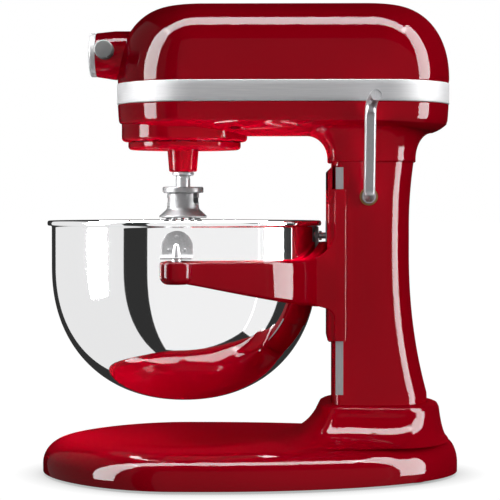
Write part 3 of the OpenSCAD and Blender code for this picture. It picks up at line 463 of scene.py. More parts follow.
# axes
AXIS_X = -58.5
BEATER_Y = -25.5
BEATER_AT = (AXIS_X, BEATER_Y, 0)
LEVER_X, LEVER_Z = 104.4, 246.6
LEVER_AT = (LEVER_X, 0, LEVER_Z)
# outlines
COLUMN_FRONT, COLUMN_REAR, COLUMN_HALF = 72.8, 141.7, 49.2
HEAD_FRONT, HEAD_REAR, HEAD_W = -118, 176.8, 72.7
FRONT_NOSE, REAR_NOSE, HEAD_PINCH = 0.935, 0.86, 0.12    # the head's noses as shares of its half width
BASE_PLAN = [-185, 185, 125, 225, 143.5, 143.5, 1, 1, 0.15]
HEAD_PLAN = [HEAD_FRONT, HEAD_REAR, HEAD_W * FRONT_NOSE, HEAD_W * REAR_NOSE, HEAD_W, HEAD_W, 1, 1, HEAD_PINCH]
CURVE_E = 2 / 2.2    # exponent of the crown's and the bowl's curves
BOWL_R, BOWL_H, BOWL_WALL = 118.3, 119.5, 1.5
SCREWS_AT = [(-12, -52), (-12, 52), (118, -52), (118, 52)]
FEET_AT = [(-150, 0), (-60, 105), (-60, -105), (140, 58), (140, -58)]
RIM_H, EDGE_H, RIM_INSET, DISH_R, DISH_DEPTH = 32, 10, 25, 105, 8
# how far the fairing round the column's foot stands out from the collar, and how high above the rim
FAIRING = [(32, 0.3), (26, 2), (17.5, 6), (9.5, 13), (3.5, 21), (0.5, 27), (-1.5, 31)]
FOOT_EDGE, FOOT_TOP = FAIRING[-1]


# ---- base and column ----
def column_plan(z):
    """The column's plan, with its rear swept back toward the base and a little toward the head."""
    f = 16 * power((200 - max(z, 72)) / 128, 2.2) + 4 * power((z - NECK_Z + 56) / 56, 2)
    return [COLUMN_FRONT, COLUMN_REAR + f, 12, 44, COLUMN_HALF, COLUMN_HALF - 2 + 0.25 * f, 0.4, 0.85, 0]


def rim_ring(t):
    """The base's rounded rim, from its upright side at 0 degrees to its level top at 90."""
    d = RIM_INSET * (1 - cosd(t))
    front, rear, front_nose, rear_nose, front_half, rear_half, *shape = BASE_PLAN
    plan = [front + d, rear - 0.5 * d, front_nose - d, rear_nose - 0.5 * d, front_half - d, rear_half - d,
            *shape]
    return ring(plan, EDGE_H + (RIM_H - EDGE_H) * sind(t))


def collar_ring(e, z):
    """The plan of the raised collar round the column's foot, e further out."""
    return ring([COLUMN_FRONT - 11.8 - e, COLUMN_REAR + 26.8 + (e / 4 if e > 0 else e), 20, 50 + e / 5,
                 COLUMN_HALF + 10 + e, COLUMN_HALF + 12 + e, 0.65, 0.85, 0.05], z)


def dish(x, y):
    d = min(math.hypot(x - AXIS_X, y) / DISH_R, 1)
    return DISH_DEPTH * (1 + cosd(180 * d)) / 2


def top_ring(s):
    a, b = rim_ring(90), collar_ring(FAIRING[0][0], RIM_H + FAIRING[0][1])
    rows = [tuple(lerp(p[i], q[i], s) for i in range(3)) for p, q in zip(a, b)]
    return [(x, y, z - dish(x, y)) for x, y, z in rows]


def build_base():
    rings = [ring(inset(BASE_PLAN, 17), 18), ring(inset(BASE_PLAN, WALL), 6), ring(inset(BASE_PLAN, WALL), 2.2),
             ring(inset(BASE_PLAN, EDGE_R), 2.05)]
    rings += edge_rings(BASE_PLAN, 2, EDGE_R, (20, 45, 70))
    rings += [rim_ring(90 * i / 28) for i in range(29)]
    rings += [top_ring(i / 24) for i in range(1, 24)]
    rings += [collar_ring(e, RIM_H + z) for e, z in smooth_path(FAIRING, 6)]
    socket = inset(column_plan(SOCKET_Z), -SOCKET_PLAY)
    lip = ring(socket, 65)
    for s in (0.25, 0.5, 0.75):
        bulge = (0, 0, 1.8 * sind(90 * s) * (1 - s))
        rings.append([tuple(lerp(p[i], q[i], s) + bulge[i] for i in range(3))
                      for p, q in zip(collar_ring(FOOT_EDGE, RIM_H + FOOT_TOP), lip)])
    rings += [lip, ring(socket, 50)]
    base = loft("base_shell", rings, sharp_deg=CASTING_SHARP)
    finish_piece(base, "stand", "red_enamel", "base_casting")


def build_feet():
    feet = []
    sole = rounded([(0, 0), (3, 0), (3, 1), (7.5, 1), (7.5, 0), (13, 0), (13, 7), (0, 7)],
                   [0, 0.3, 0.3, 0.3, 0.3, 1.5, 0.6, 0])
    stem = [(0, 6.5), (4, 6.5), (4, 16.5), (3.5, 17), (0, 17)]
    for x, y in FEET_AT:
        feet.append(revolve("foot", sole, at=(x, y, 0), sides=64))
        feet.append(revolve("stem", stem, at=(x, y, 0), sides=32))
    finish_piece(join(feet, "feet"), "stand", "rubber_foot", "rubber_feet")


def build_column():
    """The hollow column with the slot for the lift and the recess for the lever's bush."""
    levels = [lerp(SOCKET_Z, NECK_Z, i / 60) for i in range(61)]
    rings = [ring(column_plan(z), z) for z in levels]
    rings += [ring(inset(column_plan(z), WALL), z) for z in reversed(levels)]
    column = loft("column_shell", rings, looped=True)
    combine(column, box("slot", (60, -8, RIM_Z - 60), (85, 8, NECK_Z + 5)))
    pit = revolve("pit", [(0, -60), (9, -60), (8.4, -49), (8.02, -48), (8.02, -40), (0, -40)],
                  at=LEVER_AT, axis="y", sides=64)
    combine(column, pit)
    finish_piece(column, "stand", "red_enamel", "column_casting")


# ---- head ----
def belly_z(x, y):
    """Height of the crowned underside: low along the middle, up to the crease at the plan's edge."""
    front, rear = HEAD_FRONT + HEAD_PLAN[2], HEAD_REAR - HEAD_PLAN[3]
    along = max((front - x) / HEAD_PLAN[2], (x - rear) / HEAD_PLAN[3], 0)
    s = min(math.hypot(along, y / HEAD_W), 1)
    tail = min(max((x - 105) / 55, 0), 1)
    return BELLY_Z + (SIDE_Z - BELLY_Z) * s ** lerp(2.4, 6, tail * tail * (3 - 2 * tail))


def neck_plan(f):
    """The plan of the head's neck, from the column's top at 0 to where its flare meets the belly at 1."""
    half = 51 + 11 * f
    return [69.4 - 18.7 * f, 147.5 + 15 * f, 12 + 8 * f, 44 + 6 * f, half, half, 0.4, 0.85, 0]


def neck_ring(t):
    top = outline(neck_plan(1))
    rows = outline(neck_plan(1 - cosd(t)))
    return [(x, y, lerp(NECK_Z + 3, belly_z(*q), sind(t))) for (x, y), q in zip(rows, top)]


def belly_ring(s):
    rows = zip(outline(neck_plan(1)), outline(inset(HEAD_PLAN, 2)))
    rows = [(lerp(a[0], b[0], s), lerp(a[1], b[1], s)) for a, b in rows]
    return [(x, y, belly_z(x, y)) for x, y in rows]


def build_lower():
    """The lower housing, from the neck's flare over the belly to the band, and the planetary's drum."""
    neck = neck_plan(0)
    rings = [ring(inset(neck, WALL), NECK_Z + 10), ring(inset(neck, WALL), NECK_Z),
             ring(inset(neck, EDGE_R), NECK_Z)]
    rings += edge_rings(neck, NECK_Z, EDGE_R, (20, 45, 70, 90))
    rings += [neck_ring(90 * i / 24) for i in range(25)]
    rings += [belly_ring(i / 36) for i in range(1, 37)]
    rings += [ring(inset(HEAD_PLAN, 1.35), SIDE_Z + 0.2), ring(inset(HEAD_PLAN, 1), SIDE_Z + 1)]
    rings += [ring(inset(HEAD_PLAN, 0.9 * (1 - s)), lerp(SIDE_Z, BAND_Z - 0.7, s)) for s in (0.33, 0.66, 1)]
    rings += [ring(inset(HEAD_PLAN, 0.7), BAND_Z), ring(inset(HEAD_PLAN, WALL), BAND_Z),
              ring(inset(HEAD_PLAN, WALL), BAND_Z - 8)]
    lower = loft("lower_shell", rings, sharp_deg=CASTING_SHARP)
    combine(lower, cutter("inlet", 6.4, 150, 190, at=(0, 0, INLET_Z), axis="x"), sharp_deg=CASTING_SHARP)
    for x, y in SCREWS_AT[:2]:    # the rear two are under the neck's flare
        well = cutter("well", 5, 290, belly_z(x, y) + 4, at=(x, y, 0), sides=48)
        combine(lower, well, sharp_deg=CASTING_SHARP)
    drum = rounded([(44.5, 312), (44.5, BLOCK_Z), (56, BLOCK_Z), (56, 312)], [0, 1, 3.6, 0], seg=10,
                   closed=True)
    drum = revolve("drum", drum, at=(AXIS_X, 0, 0), closed=True, sides=160)
    finish_piece(join([lower, drum], "lower_shell"), "stand", "red_enamel", "lower_housing")


def build_screws():
    """The four cross-recess screws that hold the two housings together."""
    screws = []
    for x, y in SCREWS_AT:
        z = belly_z(x, y) + 1.2
        head = rounded([(0, z + 0.1), (4.5, z + 0.9), (4.5, z + 3), (2.5, z + 3), (2.5, 361), (0, 361)],
                       [0, 1.4, 0, 0, 0.4, 0])
        screw = revolve("screw", head, at=(x, y, 0), sides=48)
        for dx, dy in ((2.6, 0.5), (0.5, 2.6)):
            combine(screw, box("recess", (x - dx, y - dy, z - 1), (x + dx, y + dy, z + 1.5)))
        screws.append(screw)
    finish_piece(join(screws, "screws"), "stand", "satin_steel", "housing_screws")


def build_inlet():
    grommet = rounded([(3.6, 165), (6, 165), (6, 174.2), (3.6, 174.2)], [0.5, 0, 1.6, 1], closed=True)
    grommet = revolve("grommet", grommet, at=(0, 0, INLET_Z), axis="x", closed=True, sides=64)
    finish_piece(grommet, "stand", "black_plastic", "cord_inlet")


def crown_ring(t):
    """The upper housing's outside, from its upright side at 0 degrees to its top at 90."""
    s = power(cosd(t), CURVE_E)
    r = 55 * (1 - s)
    w = lerp(24, HEAD_W, s)
    return ring([HEAD_FRONT + r, HEAD_REAR + 0.5 - r, w * FRONT_NOSE, w * REAR_NOSE, w, w, 1, 1, HEAD_PINCH],
                CROWN_Z + 3 + 66.4 * power(sind(t), CURVE_E))


def build_upper():
    rings = [ring(inset(HEAD_PLAN, WALL), CROWN_Z + 8), ring(inset(HEAD_PLAN, WALL), CROWN_Z),
             ring(inset(HEAD_PLAN, 0.8), CROWN_Z)]
    rings += edge_rings(HEAD_PLAN, CROWN_Z, 0.8, (30, 60, 90))
    rings += [crown_ring(90 * i / 56) for i in range(57)]
    upper = loft("upper_shell", rings, sharp_deg=CASTING_SHARP)
    combine(upper, cutter("hole", 21.35, -128, -100, at=(0, 0, HUB_Z), axis="x"), sharp_deg=CASTING_SHARP)
    finish_piece(upper, "stand", "red_enamel", "upper_housing")


def build_band():
    top, low = CROWN_Z - 0.05, BAND_Z + 0.05
    # inset from the head's plan, and distance from the band's edge
    corner = [(4, 0), (0.3, 0), (-0.4, 0.3), (-0.6, 0.9)]
    rings = [ring(inset(HEAD_PLAN, d), low + h) for d, h in corner]
    rings += [ring(inset(HEAD_PLAN, corner[-1][0]), lerp(low, top, s)) for s in (0.25, 0.5, 0.75)]
    rings += [ring(inset(HEAD_PLAN, d), top - h) for d, h in corner[::-1]]
    band = loft("trim", rings, looped=True, sharp_deg=50)
    combine(band, box("cut", (40, 60, BAND_Z + 5.5), (86, 90, BAND_Z + 13.5), 2), sharp_deg=50)
    finish_piece(band, "stand", "brushed_band", "trim_band")


# ---- attachment hub ----
HUB_R = 21.3


def build_hub():
    """The hub's nose with its stepped mouth, and the cap that is pushed over it."""
    profile = rounded([(16, -139.8), (17.7, -139.8), (17.7, -136.8), (19.6, -136.8), (HUB_R, -120),
                       (HUB_R, -98.2), (15, -98.2), (15, -92), (11.05, -92), (11.05, -118.3), (16, -118.3)],
                      [0.6, 0.3, 0.2, 0.8, 3, 0, 0, 0, 0, 0, 0], closed=True)
    shell = revolve("hub_shell", profile, at=(0, 0, HUB_Z), axis="x", closed=True)
    for v in shell.data.vertices:    # the nose bulges a little downward where it meets the head
        x, low = v.co.x / MM, (HUB_Z - v.co.z / MM) / HUB_R
        if -121 < x < -112 and low > 0:
            v.co.z -= 0.9 * low * MM
    finish_piece(shell, "stand", "red_enamel", "hub_nose")
    cap = rounded([(0, -143.9), (13.6, -143.3), (18.6, -142.3), (19.6, -141.4), (19.6, -137.1), (17.9, -137.1),
                   (17.9, -140), (0, -140)], [0, 12, 2, 0.8, 0.5, 0.2, 0.3, 0])
    finish_piece(revolve("cap", cap, at=(0, 0, HUB_Z), axis="x"), "hub_cap", "cap_face", "hub_cap")


def build_knob():
    """The hub's side knob: a plain grip on a short neck, with its stem."""
    profile = rounded([(0, -16.4), (3, -16.4), (3, -22.1), (5.5, -22.1), (5.5, -25.1), (8.2, -27.6),
                       (8.2, -44.6), (0, -44.6)], [0, 0.4, 0, 0.6, 0.8, 1, 1.3, 0])
    knob = revolve("knob_grip", profile, at=(-127.1, 0, HUB_Z + 2.2), axis="y", sides=96)
    finish_piece(knob, "attachment_knob", "black_plastic", "attachment_knob")


# ---- planetary and whisk ----
def build_planetary():
    disc = rounded([(0, DISC_Z), (50.2, DISC_Z), (50.2, DISC_Z + 6.5), (11, DISC_Z + 6.5), (11, 302.5),
                    (0, 302.5)], [0, 5.6, 0.5, 0, 0.5, 0], seg=12)
    plate = revolve("plate", disc, at=(AXIS_X, 0, 0), sides=160)
    boss = rounded([(9.02, 292), (9.02, 268.4), (12.2, 268.4), (13.8, DISC_Z), (20, DISC_Z + 0.15), (20, 292)],
                   [0, 0.4, 2.6, 2.6, 0, 0], closed=True)
    knuckle = revolve("knuckle", boss, at=BEATER_AT, sides=96, closed=True)
    finish_piece(join([plate, knuckle], "planetary_shell"), "planetary", "red_enamel", "planetary_housing")


def build_shaft():
    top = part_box("beater_shaft")[1][2] / MM
    profile = rounded([(0, 241.2), (6.35, 241.2), (6.35, 262.5), (5.9, 263), (5.9, 264), (6.35, 264.5),
                       (6.35, top), (0, top)], [0, 0.8, 0.1, 0.1, 0.1, 0.1, 0.4, 0])
    finish_piece(revolve("shaft", profile, at=BEATER_AT, sides=96), "beater", "machined_steel", "beater_shaft")
    collar = rounded([(6.37, 264.8), (8.6, 264.8), (9.5, 265.7), (9.5, 268.1), (6.37, 268.1)],
                     [0.3, 0.3, 0.8, 0.5, 0.2], closed=True)
    finish_piece(revolve("collar", collar, at=BEATER_AT, sides=96, closed=True), "beater", "satin_steel",
                 "beater_collar")
    pin = rounded([(0, -10.5), (2.38, -10.5), (2.38, 10.5), (0, 10.5)], [0, 0.7, 0.7, 0])
    finish_piece(revolve("cross_pin", pin, at=(AXIS_X, BEATER_Y, 248.2), axis="y", sides=48), "beater",
                 "machined_steel", "drive_pin")


FLANGE_Z, WHISK_Z = 255.2, 228
WIRES, WIRE_R, WHISK_R = 6, 1.2, 44
WIRE_FROM = 20    # degrees from the top at which a loop leaves the hub


def whisk_point(i, t):
    """A point of wire loop i, t degrees round from the top. Each loop is a little shorter than the last."""
    depth = (146 - 2.7 * i) / (1 + cosd(WIRE_FROM))
    r = WHISK_R * sind(t) * (1 - 0.18 * cosd(t))
    a = 180 / WIRES * i
    return (AXIS_X + r * cosd(a), BEATER_Y + r * sind(a), WHISK_Z + depth * (cosd(t) - cosd(WIRE_FROM)))


def build_whisk():
    profile = rounded([(0, 241), (6.42, 241), (6.42, FLANGE_Z), (18, FLANGE_Z), (18, 249.9), (14, 249.9),
                       (14, 236), (21, 229.6), (21, WHISK_Z), (0, WHISK_Z)],
                      [0, 0, 0.7, 1.4, 1, 1.2, 4, 1.3, 0.8, 0])
    hub = revolve("hub_of_whisk", profile, at=BEATER_AT, sides=128)
    slot = rounded([(-7.5, 262), (-2.5, 262), (-2.5, 245.6), (5.5, 245.6), (5.5, 249.9), (7.8, 249.9),
                    (7.8, 240.6), (-7.5, 240.6)], [0, 0, 1.5, 1.5, 1, 1, 2.4, 2.4], closed=True)
    for turn in (75, 255):    # the J-shaped slots for the shaft's cross pin
        tool = prism("slot", slot, -22, -6)
        tool.data.transform(Matrix.Translation([c * MM for c in BEATER_AT])
                            @ Matrix.Rotation(math.radians(turn), 4, "Z"))
        combine(hub, tool)
    finish_piece(hub, "beater", "whisk_steel", "whisk_hub")
    wires = []
    for i in range(WIRES):
        path = [whisk_point(i, t) for t in np.linspace(WIRE_FROM, 360 - WIRE_FROM, 97)]
        start, end = path[0], path[-1]
        path = [(start[0], start[1], start[2] + 4)] + path + [(end[0], end[1], end[2] + 4)]
        a = 180 / WIRES * i
        wires.append(tube("wire", path, WIRE_R, (-sind(a), cosd(a), 0), sides=12))
    finish_piece(join(wires, "wires"), "beater", "polished_wire", "whisk_wires")


# ---- bowl and its cradle ----
def bowl_side(d, steps):
    """The bowl's profile from its bottom up to its straight wall, d inside the outer face."""
    return [((BOWL_R - d) * power(cosd(t), CURVE_E), BOWL_Z + BOWL_H - (BOWL_H - d) * power(sind(t), CURVE_E))
            for t in (90 * (1 - i / steps) for i in range(steps + 1))]


def build_bowl():
    """The bowl with its rolled rim, turned in one piece."""
    lip = rounded([(BOWL_R, RIM_Z - 30), (BOWL_R, RIM_Z - 4.6), (121.8, RIM_Z - 4.6), (122.2, RIM_Z - 2.2),
                   (121.6, RIM_Z - 0.1), (118.4, RIM_Z), (116.8, RIM_Z - 1.2), (116.8, RIM_Z - 30)],
                  [0, 1.4, 1.2, 1.4, 1.4, 1.6, 1, 0])
    profile = bowl_side(0, 72) + lip + bowl_side(BOWL_WALL, 72)[::-1]
    bowl = revolve("bowl_shell", profile, at=(AXIS_X, 0, 0), sides=256, sharp_deg=60)
    finish_piece(bowl, "bowl_cradle", "polished_bowl", "bowl")


WEB_FRONT, WEB_BACK, WEB_TOP, YOKE_LOW = 68.5, 72.5, 272.5, 120
BOSS_Y, BOSS_Z = 129.65, (173, 192.1)
ARM_IN, ARM_OUT = 120.3, 129.3
FLANGE_Y, YOKE_HALF = 50.3, 54.3
LATCH_Z = RIM_Z - 13.5


def arm_heights(x):
    """Lower and upper edge of a yoke arm at a place along X."""
    low = lerp(175, 150, min(max((x - AXIS_X) / (62.5 - AXIS_X), 0), 1.08))
    rise = min(max((x - 44) / 26, 0), 1)
    return low, BOSS_Z[1] + 22 * rise ** 2.4


def arm_ring(phi):
    """A yoke arm's section, phi degrees round the bowl from the rear. It grows thicker toward its boss."""
    beyond = ARM_OUT * math.radians(90 - abs(phi))
    flare = 6.5 * max(0, (27 - beyond) / 17) ** 2 if beyond > 10 else 6.5
    out_r = ARM_OUT + min(flare, 6.5)
    rows = []
    low, high = arm_heights(AXIS_X + 125 * cosd(phi))
    corners = [(ARM_IN, low), (out_r, low), (out_r, high), (ARM_IN, high)]
    for r, z in rounded(corners, [1, 3, 3, 1], seg=6, closed=True):
        rows.append((AXIS_X + r * cosd(phi), r * sind(phi), z))
    return rows


def build_yoke():
    """The bowl yoke: its arms with their bosses, the slide's stepped channel and web, ears and gussets."""
    arms = loft("arms", [arm_ring(p) for p in np.linspace(-90, 90, 145)])
    combine(arms, box("window", (54.5, -14, LATCH_Z - 15), (WEB_FRONT, 14, 257), 3))
    step, step_x, flange_x = 51.2, 74.3, 84.5
    half = [(flange_x, -FLANGE_Y), (flange_x, -YOKE_HALF), (step_x, -YOKE_HALF), (step_x, -step),
            (WEB_FRONT, -step)]
    plan = rounded([(WEB_BACK, FLANGE_Y), (WEB_BACK, -FLANGE_Y)] + half + [(x, -y) for x, y in half[::-1]],
                   [0.6, 0.6, 1, 1.5, 1.2, 0.5, 4.5, 4.5, 0.5, 1.2, 1.5, 1], seg=8, closed=True)
    channel = loft("channel", [[(x, y, z) for x, y in plan] for z in (YOKE_LOW + 1, 253)])
    bevel(channel, 1.6, 4, limit=50)
    web = rounded([(WEB_BACK, YOKE_LOW), (WEB_FRONT + 1, YOKE_LOW), (WEB_FRONT + 0.02, YOKE_LOW + 3),
                   (WEB_FRONT + 0.02, 269), (WEB_BACK - 0.5, WEB_TOP), (WEB_BACK, WEB_TOP)],
                  [0.5, 1, 1, 2, 0.3, 0.3], closed=True)
    web = prism("web", web, 7 - YOKE_HALF, YOKE_HALF - 7)
    ears = rounded([(WEB_FRONT + 0.02, 240), (WEB_FRONT + 0.02, 269), (WEB_BACK - 0.5, WEB_TOP),
                    (WEB_BACK, WEB_TOP), (WEB_BACK, 240)], [0, 2, 0.3, 0.3, 0], closed=True)
    ears = prism("ears", ears, 0.4 - step, step - 0.4)
    bevel(ears, 1.2, 3, limit=50)
    pieces = [arms, channel, web, ears]
    knee = smooth_path([(76.5, 226), (75, 215), (71.6, 206), (66.5, 199), (60, 194.6), (50, 192.3)], 5)
    knee += smooth_path([(50, 154), (62, 150.8), (69, 148.5), (73.2, 144.5), (74.8, 139), (76.5, 131)], 5)
    for y in ((-YOKE_HALF + 0.03, -FLANGE_Y), (FLANGE_Y, YOKE_HALF - 0.03)):
        gusset = prism("gusset", [(80, 226)] + knee + [(80, 131)], *y)
        bevel(gusset, 1.3, 3, limit=50)
        pieces.append(gusset)
    low, high = BOSS_Z
    profile = rounded([(0, low), (13.8, low), (13.8, high), (4.05, high), (4.05, 183), (0, 183)],
                      [0, 7, 2.6, 0.5, 0, 0], seg=10)
    for side in (-1, 1):
        boss = revolve("boss", profile, at=(AXIS_X, side * BOSS_Y, 0), sides=96)
        combine(boss, cutter("bowl_room", 119.1, 160, 200, at=(AXIS_X, 0, 0), sides=256))
        pieces.append(boss)
    finish_piece(join(pieces, "yoke"), "bowl_cradle", "red_enamel", "bowl_yoke")


def build_pins():
    pins = []
    profile = rounded([(0, 183.1), (4, 183.1), (4, 197), (2.3, 205.6), (1.2, 207.1), (0, 207.1)],
                      [0, 0, 2.5, 1.6, 0.8, 0])
    for side in (-1, 1):
        pins.append(revolve("pin", profile, at=(AXIS_X, side * BOSS_Y, 0), sides=64))
    finish_piece(join(pins, "pins"), "bowl_cradle", "machined_steel", "locating_pins")


PLATE_IN, PLATE_OUT = 118.42, 119.88    # radii of the bracket sheets' two faces, round the bowl's axis


def curved_plate(name, outline_2d, centre, turn):
    """A sheet that hugs the bowl: the outline is (across, z), and turn is where it faces. Its outer edge is
    rounded, and both faces have inner rings, so that they bend with the bowl."""
    def place(u, z, r):
        a = math.asin(u / r)
        return (AXIS_X + r * math.cos(turn + a), r * math.sin(turn + a), z)

    def scaled(k, d):
        rows = []
        for u, z in outline_2d:
            far = math.hypot(u - centre[0], z - centre[1])
            f = k * (far - d) / far
            rows.append((centre[0] + (u - centre[0]) * f, centre[1] + (z - centre[1]) * f))
        return rows
    faces = [(PLATE_IN, k, 0) for k in (0.05, 0.35, 0.7, 1)] + [(119.45, 1, 0), (119.75, 1, 0.15)]
    faces += [(PLATE_OUT, k, 0.5) for k in (1, 0.85, 0.7, 0.5, 0.3, 0.05)]
    return loft(name, [[place(u, z, r) for u, z in scaled(k, d)] for r, k, d in faces])


LIP_Z = BOSS_Z[1] + 2
ARCH_R, ARCH_STEPS = 13.4, 33


def build_brackets():
    """The side brackets, each an arch with spot welds and a lip bent out over its pin, and the rear one."""
    pieces = []
    arch = [(ARCH_R * math.sin(math.radians(a)), LIP_Z + 10 + ARCH_R * math.cos(math.radians(a)))
            for a in np.linspace(-90, 90, ARCH_STEPS)]
    arch = rounded([(-ARCH_R, LIP_Z + 0.2)] + arch + [(ARCH_R, LIP_Z + 0.2)], [0.8] + [0] * ARCH_STEPS + [0.8],
                   closed=True)
    for s in (-1, 1):    # the sides along -Y and +Y
        pieces.append(curved_plate("arch", arch, (0, LIP_Z + 11), s * math.pi / 2))
        y = sorted((s * 118.6, s * 134.3))
        lip = box("lip", (AXIS_X - ARCH_R, y[0], LIP_Z), (AXIS_X + ARCH_R, y[1], LIP_Z + 1.6))
        bevel(lip, 0.45, 3)
        combine(lip, cutter("pin_hole", 4.4, 190, 200, at=(AXIS_X, s * BOSS_Y, 0), sides=48))
        bend = [(119.4, LIP_Z + 1.5), (119.4, LIP_Z + 4.2), (119.85, LIP_Z + 4.2), (120.2, LIP_Z + 2.9),
                (121, LIP_Z + 1.9), (122.2, LIP_Z + 1.5)]
        bend = revolve("bend", bend, at=(AXIS_X, 0, 0), closed=True, sides=512)
        keep = box("keep", (AXIS_X - 13.3, y[0] - 1, LIP_Z - 2), (AXIS_X + 13.3, y[1] + 1, LIP_Z + 9))
        combine(bend, keep, "INTERSECT")
        pieces += [lip, bend]
        for u, z in ((0, LIP_Z + 18.6), (-6.6, LIP_Z + 7.6), (6.6, LIP_Z + 7.6)):
            a = s * math.pi / 2 + math.asin(u / 119.9)
            dot = revolve("weld", [(0, 0.28), (0.7, 0.26), (1.3, 0.1), (1.6, -0.1)], sides=24, axis="x")
            r = PLATE_OUT * MM
            dot.data.transform(Matrix.Translation((AXIS_X * MM + r * math.cos(a), r * math.sin(a), z * MM))
                               @ Matrix.Rotation(a, 4, "Z"))
            pieces.append(dot)
    rear = rounded([(-11, LATCH_Z - 12.8), (11, LATCH_Z - 12.8), (11, LATCH_Z + 8), (-11, LATCH_Z + 8)],
                   [0.8, 0.8, 4, 4], closed=True)
    rear = curved_plate("rear_arch", rear, (0, LATCH_Z - 2), 0)
    combine(rear, cutter("stud_hole", 2.5, 50, 70, at=(0, 0, LATCH_Z), axis="x", sides=48))
    shelf = box("shelf", (60.9, -11, LATCH_Z - 13), (65.3, 11, LATCH_Z - 11.8), 0.4)
    pieces += [rear, shelf]
    finish_piece(join(pieces, "brackets"), "bowl_cradle", "bracket_alloy", "bowl_brackets")


# ---- levers ----
# the middle of the lever's rod, from its axle in the column out and up to its grip, round (LEVER_X, 0, LEVER_Z)
LEVER_PATH = [(0, -52.3, 0), (0, -53.8, 0), (0, -55.1, 0.7), (0, -57, 2.6), (0, -58.8, 6), (0, -66.4, 28),
              (0, -74.1, 50), (0, -81.7, 72), (0.8, -84.7, 79), (2, -89.7, 83), (3.2, -95.7, 84.8),
              (4.4, -101.6, 85.5)]
LEVER_R = 4.9
FLAT_FROM, FLAT_TO, FLAT_DEPTH, FLAT_RUNOUT = 3.5, 73, 1.5, 3.2    # heights and depth of the milled flat
# the grip's end: share of the radius, and distance along the rod, of the rings of its shallow recess
GRIP_END = ((0.93, 0.02), (0.86, 0.0), (0.84, -0.5), (0.4, -0.5), (0.05, -0.5))


def build_lever():
    """The bowl-lift lever: a bent rod with a flat milled along its outer face."""
    pts = [np.array(p) for p in smooth_path(LEVER_PATH, 10)]
    pivot = np.array(LEVER_AT)
    rings = []
    for i, p in enumerate(pts):
        along, u = path_frame(pts, i, np.array((1.0, 0, 0)))
        w = np.cross(along, u)
        if w[1] > 0:
            w = -w
        inside = min(p[2] - FLAT_FROM, FLAT_TO - p[2])
        cut = FLAT_DEPTH * math.sin(math.pi / 2 * min(inside / FLAT_RUNOUT, 1)) ** 0.6 if inside >= 0 else 0
        row = []
        for k in range(48):
            t = 2 * math.pi * k / 48
            out = min(LEVER_R * math.sin(t), LEVER_R - cut)
            row.append(tuple(p + LEVER_R * math.cos(t) * u + out * w + pivot))
        rings.append(row)
    end = rings[-1]
    centre = pts[-1] + pivot
    along = (pts[-1] - pts[-2]) / np.linalg.norm(pts[-1] - pts[-2])
    for share, d in GRIP_END:
        rings.append([tuple(centre + (np.array(q) - centre) * share + along * d) for q in end])
    finish_piece(loft("lever", rings, sharp_deg=28), "lift_lever", "satin_steel", "lift_lever")


def build_bush():
    """The lever axle's bush, set back in its recess."""
    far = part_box("axle_bush")[1][1] / MM
    profile = rounded([(6.05, -43.5), (7.98, -43.5), (7.98, far), (6.05, far)], [0.6, 0.3, 0.3, 0.6],
                      closed=True)
    bush = revolve("bush", profile, at=LEVER_AT, axis="y", closed=True, sides=64)
    finish_piece(bush, "stand", "bronze", "axle_bush")


def build_speed_lever():
    """The speed lever on the far side: a grip on a blade, with the slider behind the band's slot."""
    lo, hi = (tuple(c / MM for c in p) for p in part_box("speed_lever"))
    x, z = (lo[0] + hi[0]) / 2, (lo[2] + hi[2]) / 2
    y = hi[1]
    grip = rounded([(0, y - 15.5), (6, y - 15.5), (8.6, y - 11), (9, y - 6), (7.6, y - 1.8), (4, y), (0, y)],
                   [0, 1, 2, 3, 2, 3, 0])
    knob = revolve("speed_knob", grip, at=(x, 0, z), axis="y", sides=96)
    blade = box("blade", (x - 3, lo[1] + 1, z - 2.5), (x + 3, y - 14, z + 2.5), 0.8)
    foot = box("slider", (x - 4, lo[1], z - 6), (x + 4, lo[1] + 2, z + 6), 0.5)
    finish_piece(join([knob, blade, foot], "speed_grip"), "speed_lever", "black_plastic", "speed_lever")


for build in (build_base, build_feet, build_column, build_lower, build_screws, build_inlet, build_upper,
              build_band, build_hub, build_knob, build_planetary, build_shaft, build_whisk, build_bowl,
              build_yoke, build_pins, build_brackets, build_bush, build_lever, build_speed_lever):
    build()


# ---- stage ----
FLOOR_HALF, DOME_R = 30, 25
WORLD_LIGHT = 0.03
# the floor's painted contact shadow: how far it reaches, its samples, and the span its glow is scaled across
SHADOW_REACH, SHADOW_SAMPLES, SHADOW_RANGE = 0.03, 12, (0.35, 1.02)
# Each light's place, the point it faces, its size and its power in watts. The reflected ones light no diffuse
# surface, and the soft ones show in no reflection.
REFLECTED = (
    ("strip_right", (1.5, -0.18, 0.75), (0.1, -0.05, 0.3), (0.62, 2.2), 330),
    ("strip_left", (-1.5, -0.4, 0.75), (0, -0.1, 0.3), (0.6, 2.2), 320),
    ("strip_top", (0, -0.4, 1.9), (0, -0.1, 0.4), (2.8, 0.5), 350),
    ("panel_front", (2.78, -2.6, -1.6), (2.78, 0, -1.6), (8.44, 8.8), 205),
    ("panel_left", (-2.25, 0.55, -1.6), (0, 0.55, -1.6), (4.9, 8.8), 108),
    ("panel_right", (6.5, -1.1, -1.6), (0, -1.1, -1.6), (3, 8.8), 72),
)
SOFT = (
    ("fill_right", (2.1, -1.7, 1.0), (0, 0, 0.25), (1.4, 1.4), 34),
    ("fill_back", (0.8, 2.4, 1.3), (0, 0, 0.2), (1.8, 1.8), 44),
    ("fill_nose", (-2.3, 0.9, 0.9), (0, 0, 0.25), (1.4, 1.4), 7),
    ("fill_front", (-0.3, -2.4, 0.5), (0, 0, 0.2), (1.6, 1.6), 16),
)


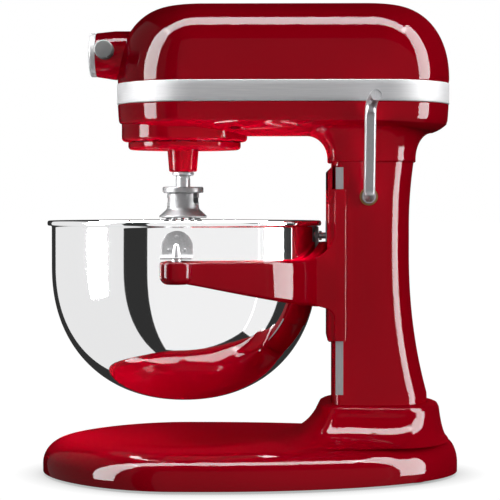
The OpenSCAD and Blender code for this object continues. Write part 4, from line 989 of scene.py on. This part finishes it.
def glow_material(name):
    glow = bpy.data.materials.new(name)
    glow.use_nodes = True
    tree = glow.node_tree
    tree.nodes.remove(tree.nodes["Principled BSDF"])
    light = tree.nodes.new("ShaderNodeEmission")
    light.inputs["Strength"].default_value = 1.0
    light.inputs["Color"].default_value = (1, 1, 1, 1)
    tree.links.new(light.outputs["Emission"], tree.nodes["Material Output"].inputs["Surface"])
    return glow


def paper_material():
    """An evenly glowing floor with a painted contact shadow: its glow darkens where the object stands close to
    it.
    """
    paper = glow_material("floor_paper")
    tree = paper.node_tree
    # painted contact shadow: ambient occlusion scales the floor's glow
    near = tree.nodes.new("ShaderNodeAmbientOcclusion")
    near.inputs["Distance"].default_value = SHADOW_REACH
    near.samples = SHADOW_SAMPLES
    span = tree.nodes.new("ShaderNodeMapRange")
    span.inputs["To Min"].default_value, span.inputs["To Max"].default_value = SHADOW_RANGE
    tree.links.new(near.outputs["AO"], span.inputs["Value"])
    tree.links.new(span.outputs["Result"], tree.nodes["Emission"].inputs["Strength"])
    return paper


def area_light(name, at, aim, size, power_w):
    data = bpy.data.lights.new(name, "AREA")
    data.shape = "RECTANGLE"
    data.size, data.size_y = size
    data.energy = power_w
    light = bpy.data.objects.new(name, data)
    light.location = at
    light.rotation_euler = (Vector(aim) - Vector(at)).to_track_quat("-Z", "Y").to_euler()
    scene.collection.objects.link(light)
    return light


def build_stage():
    edge = FLOOR_HALF / MM
    floor = mesh_object("floor", [(-edge, -edge, 0), (edge, -edge, 0), (edge, edge, 0), (-edge, edge, 0)],
                        [(0, 1, 2, 3)])
    floor.data.materials.append(paper_material())
    floor.visible_glossy = False
    floor.visible_diffuse = False
    bpy.ops.mesh.primitive_uv_sphere_add(segments=64, ring_count=32, radius=DOME_R)
    dome = bpy.context.active_object
    dome.name = "backdrop"
    dome.data.materials.append(glow_material("backdrop_glow"))
    dome.visible_glossy = False
    dome.visible_diffuse = False
    dome.visible_shadow = False
    dome.visible_transmission = False
    world = bpy.data.worlds.new("world")
    scene.world = world
    world.use_nodes = True
    world.node_tree.nodes["Background"].inputs["Color"].default_value = (1, 1, 1, 1)
    world.node_tree.nodes["Background"].inputs["Strength"].default_value = WORLD_LIGHT
    for row in REFLECTED:
        area_light(*row).visible_diffuse = False
    for row in SOFT:
        area_light(*row).visible_glossy = False


build_stage()
scene.view_settings.view_transform = "Standard"
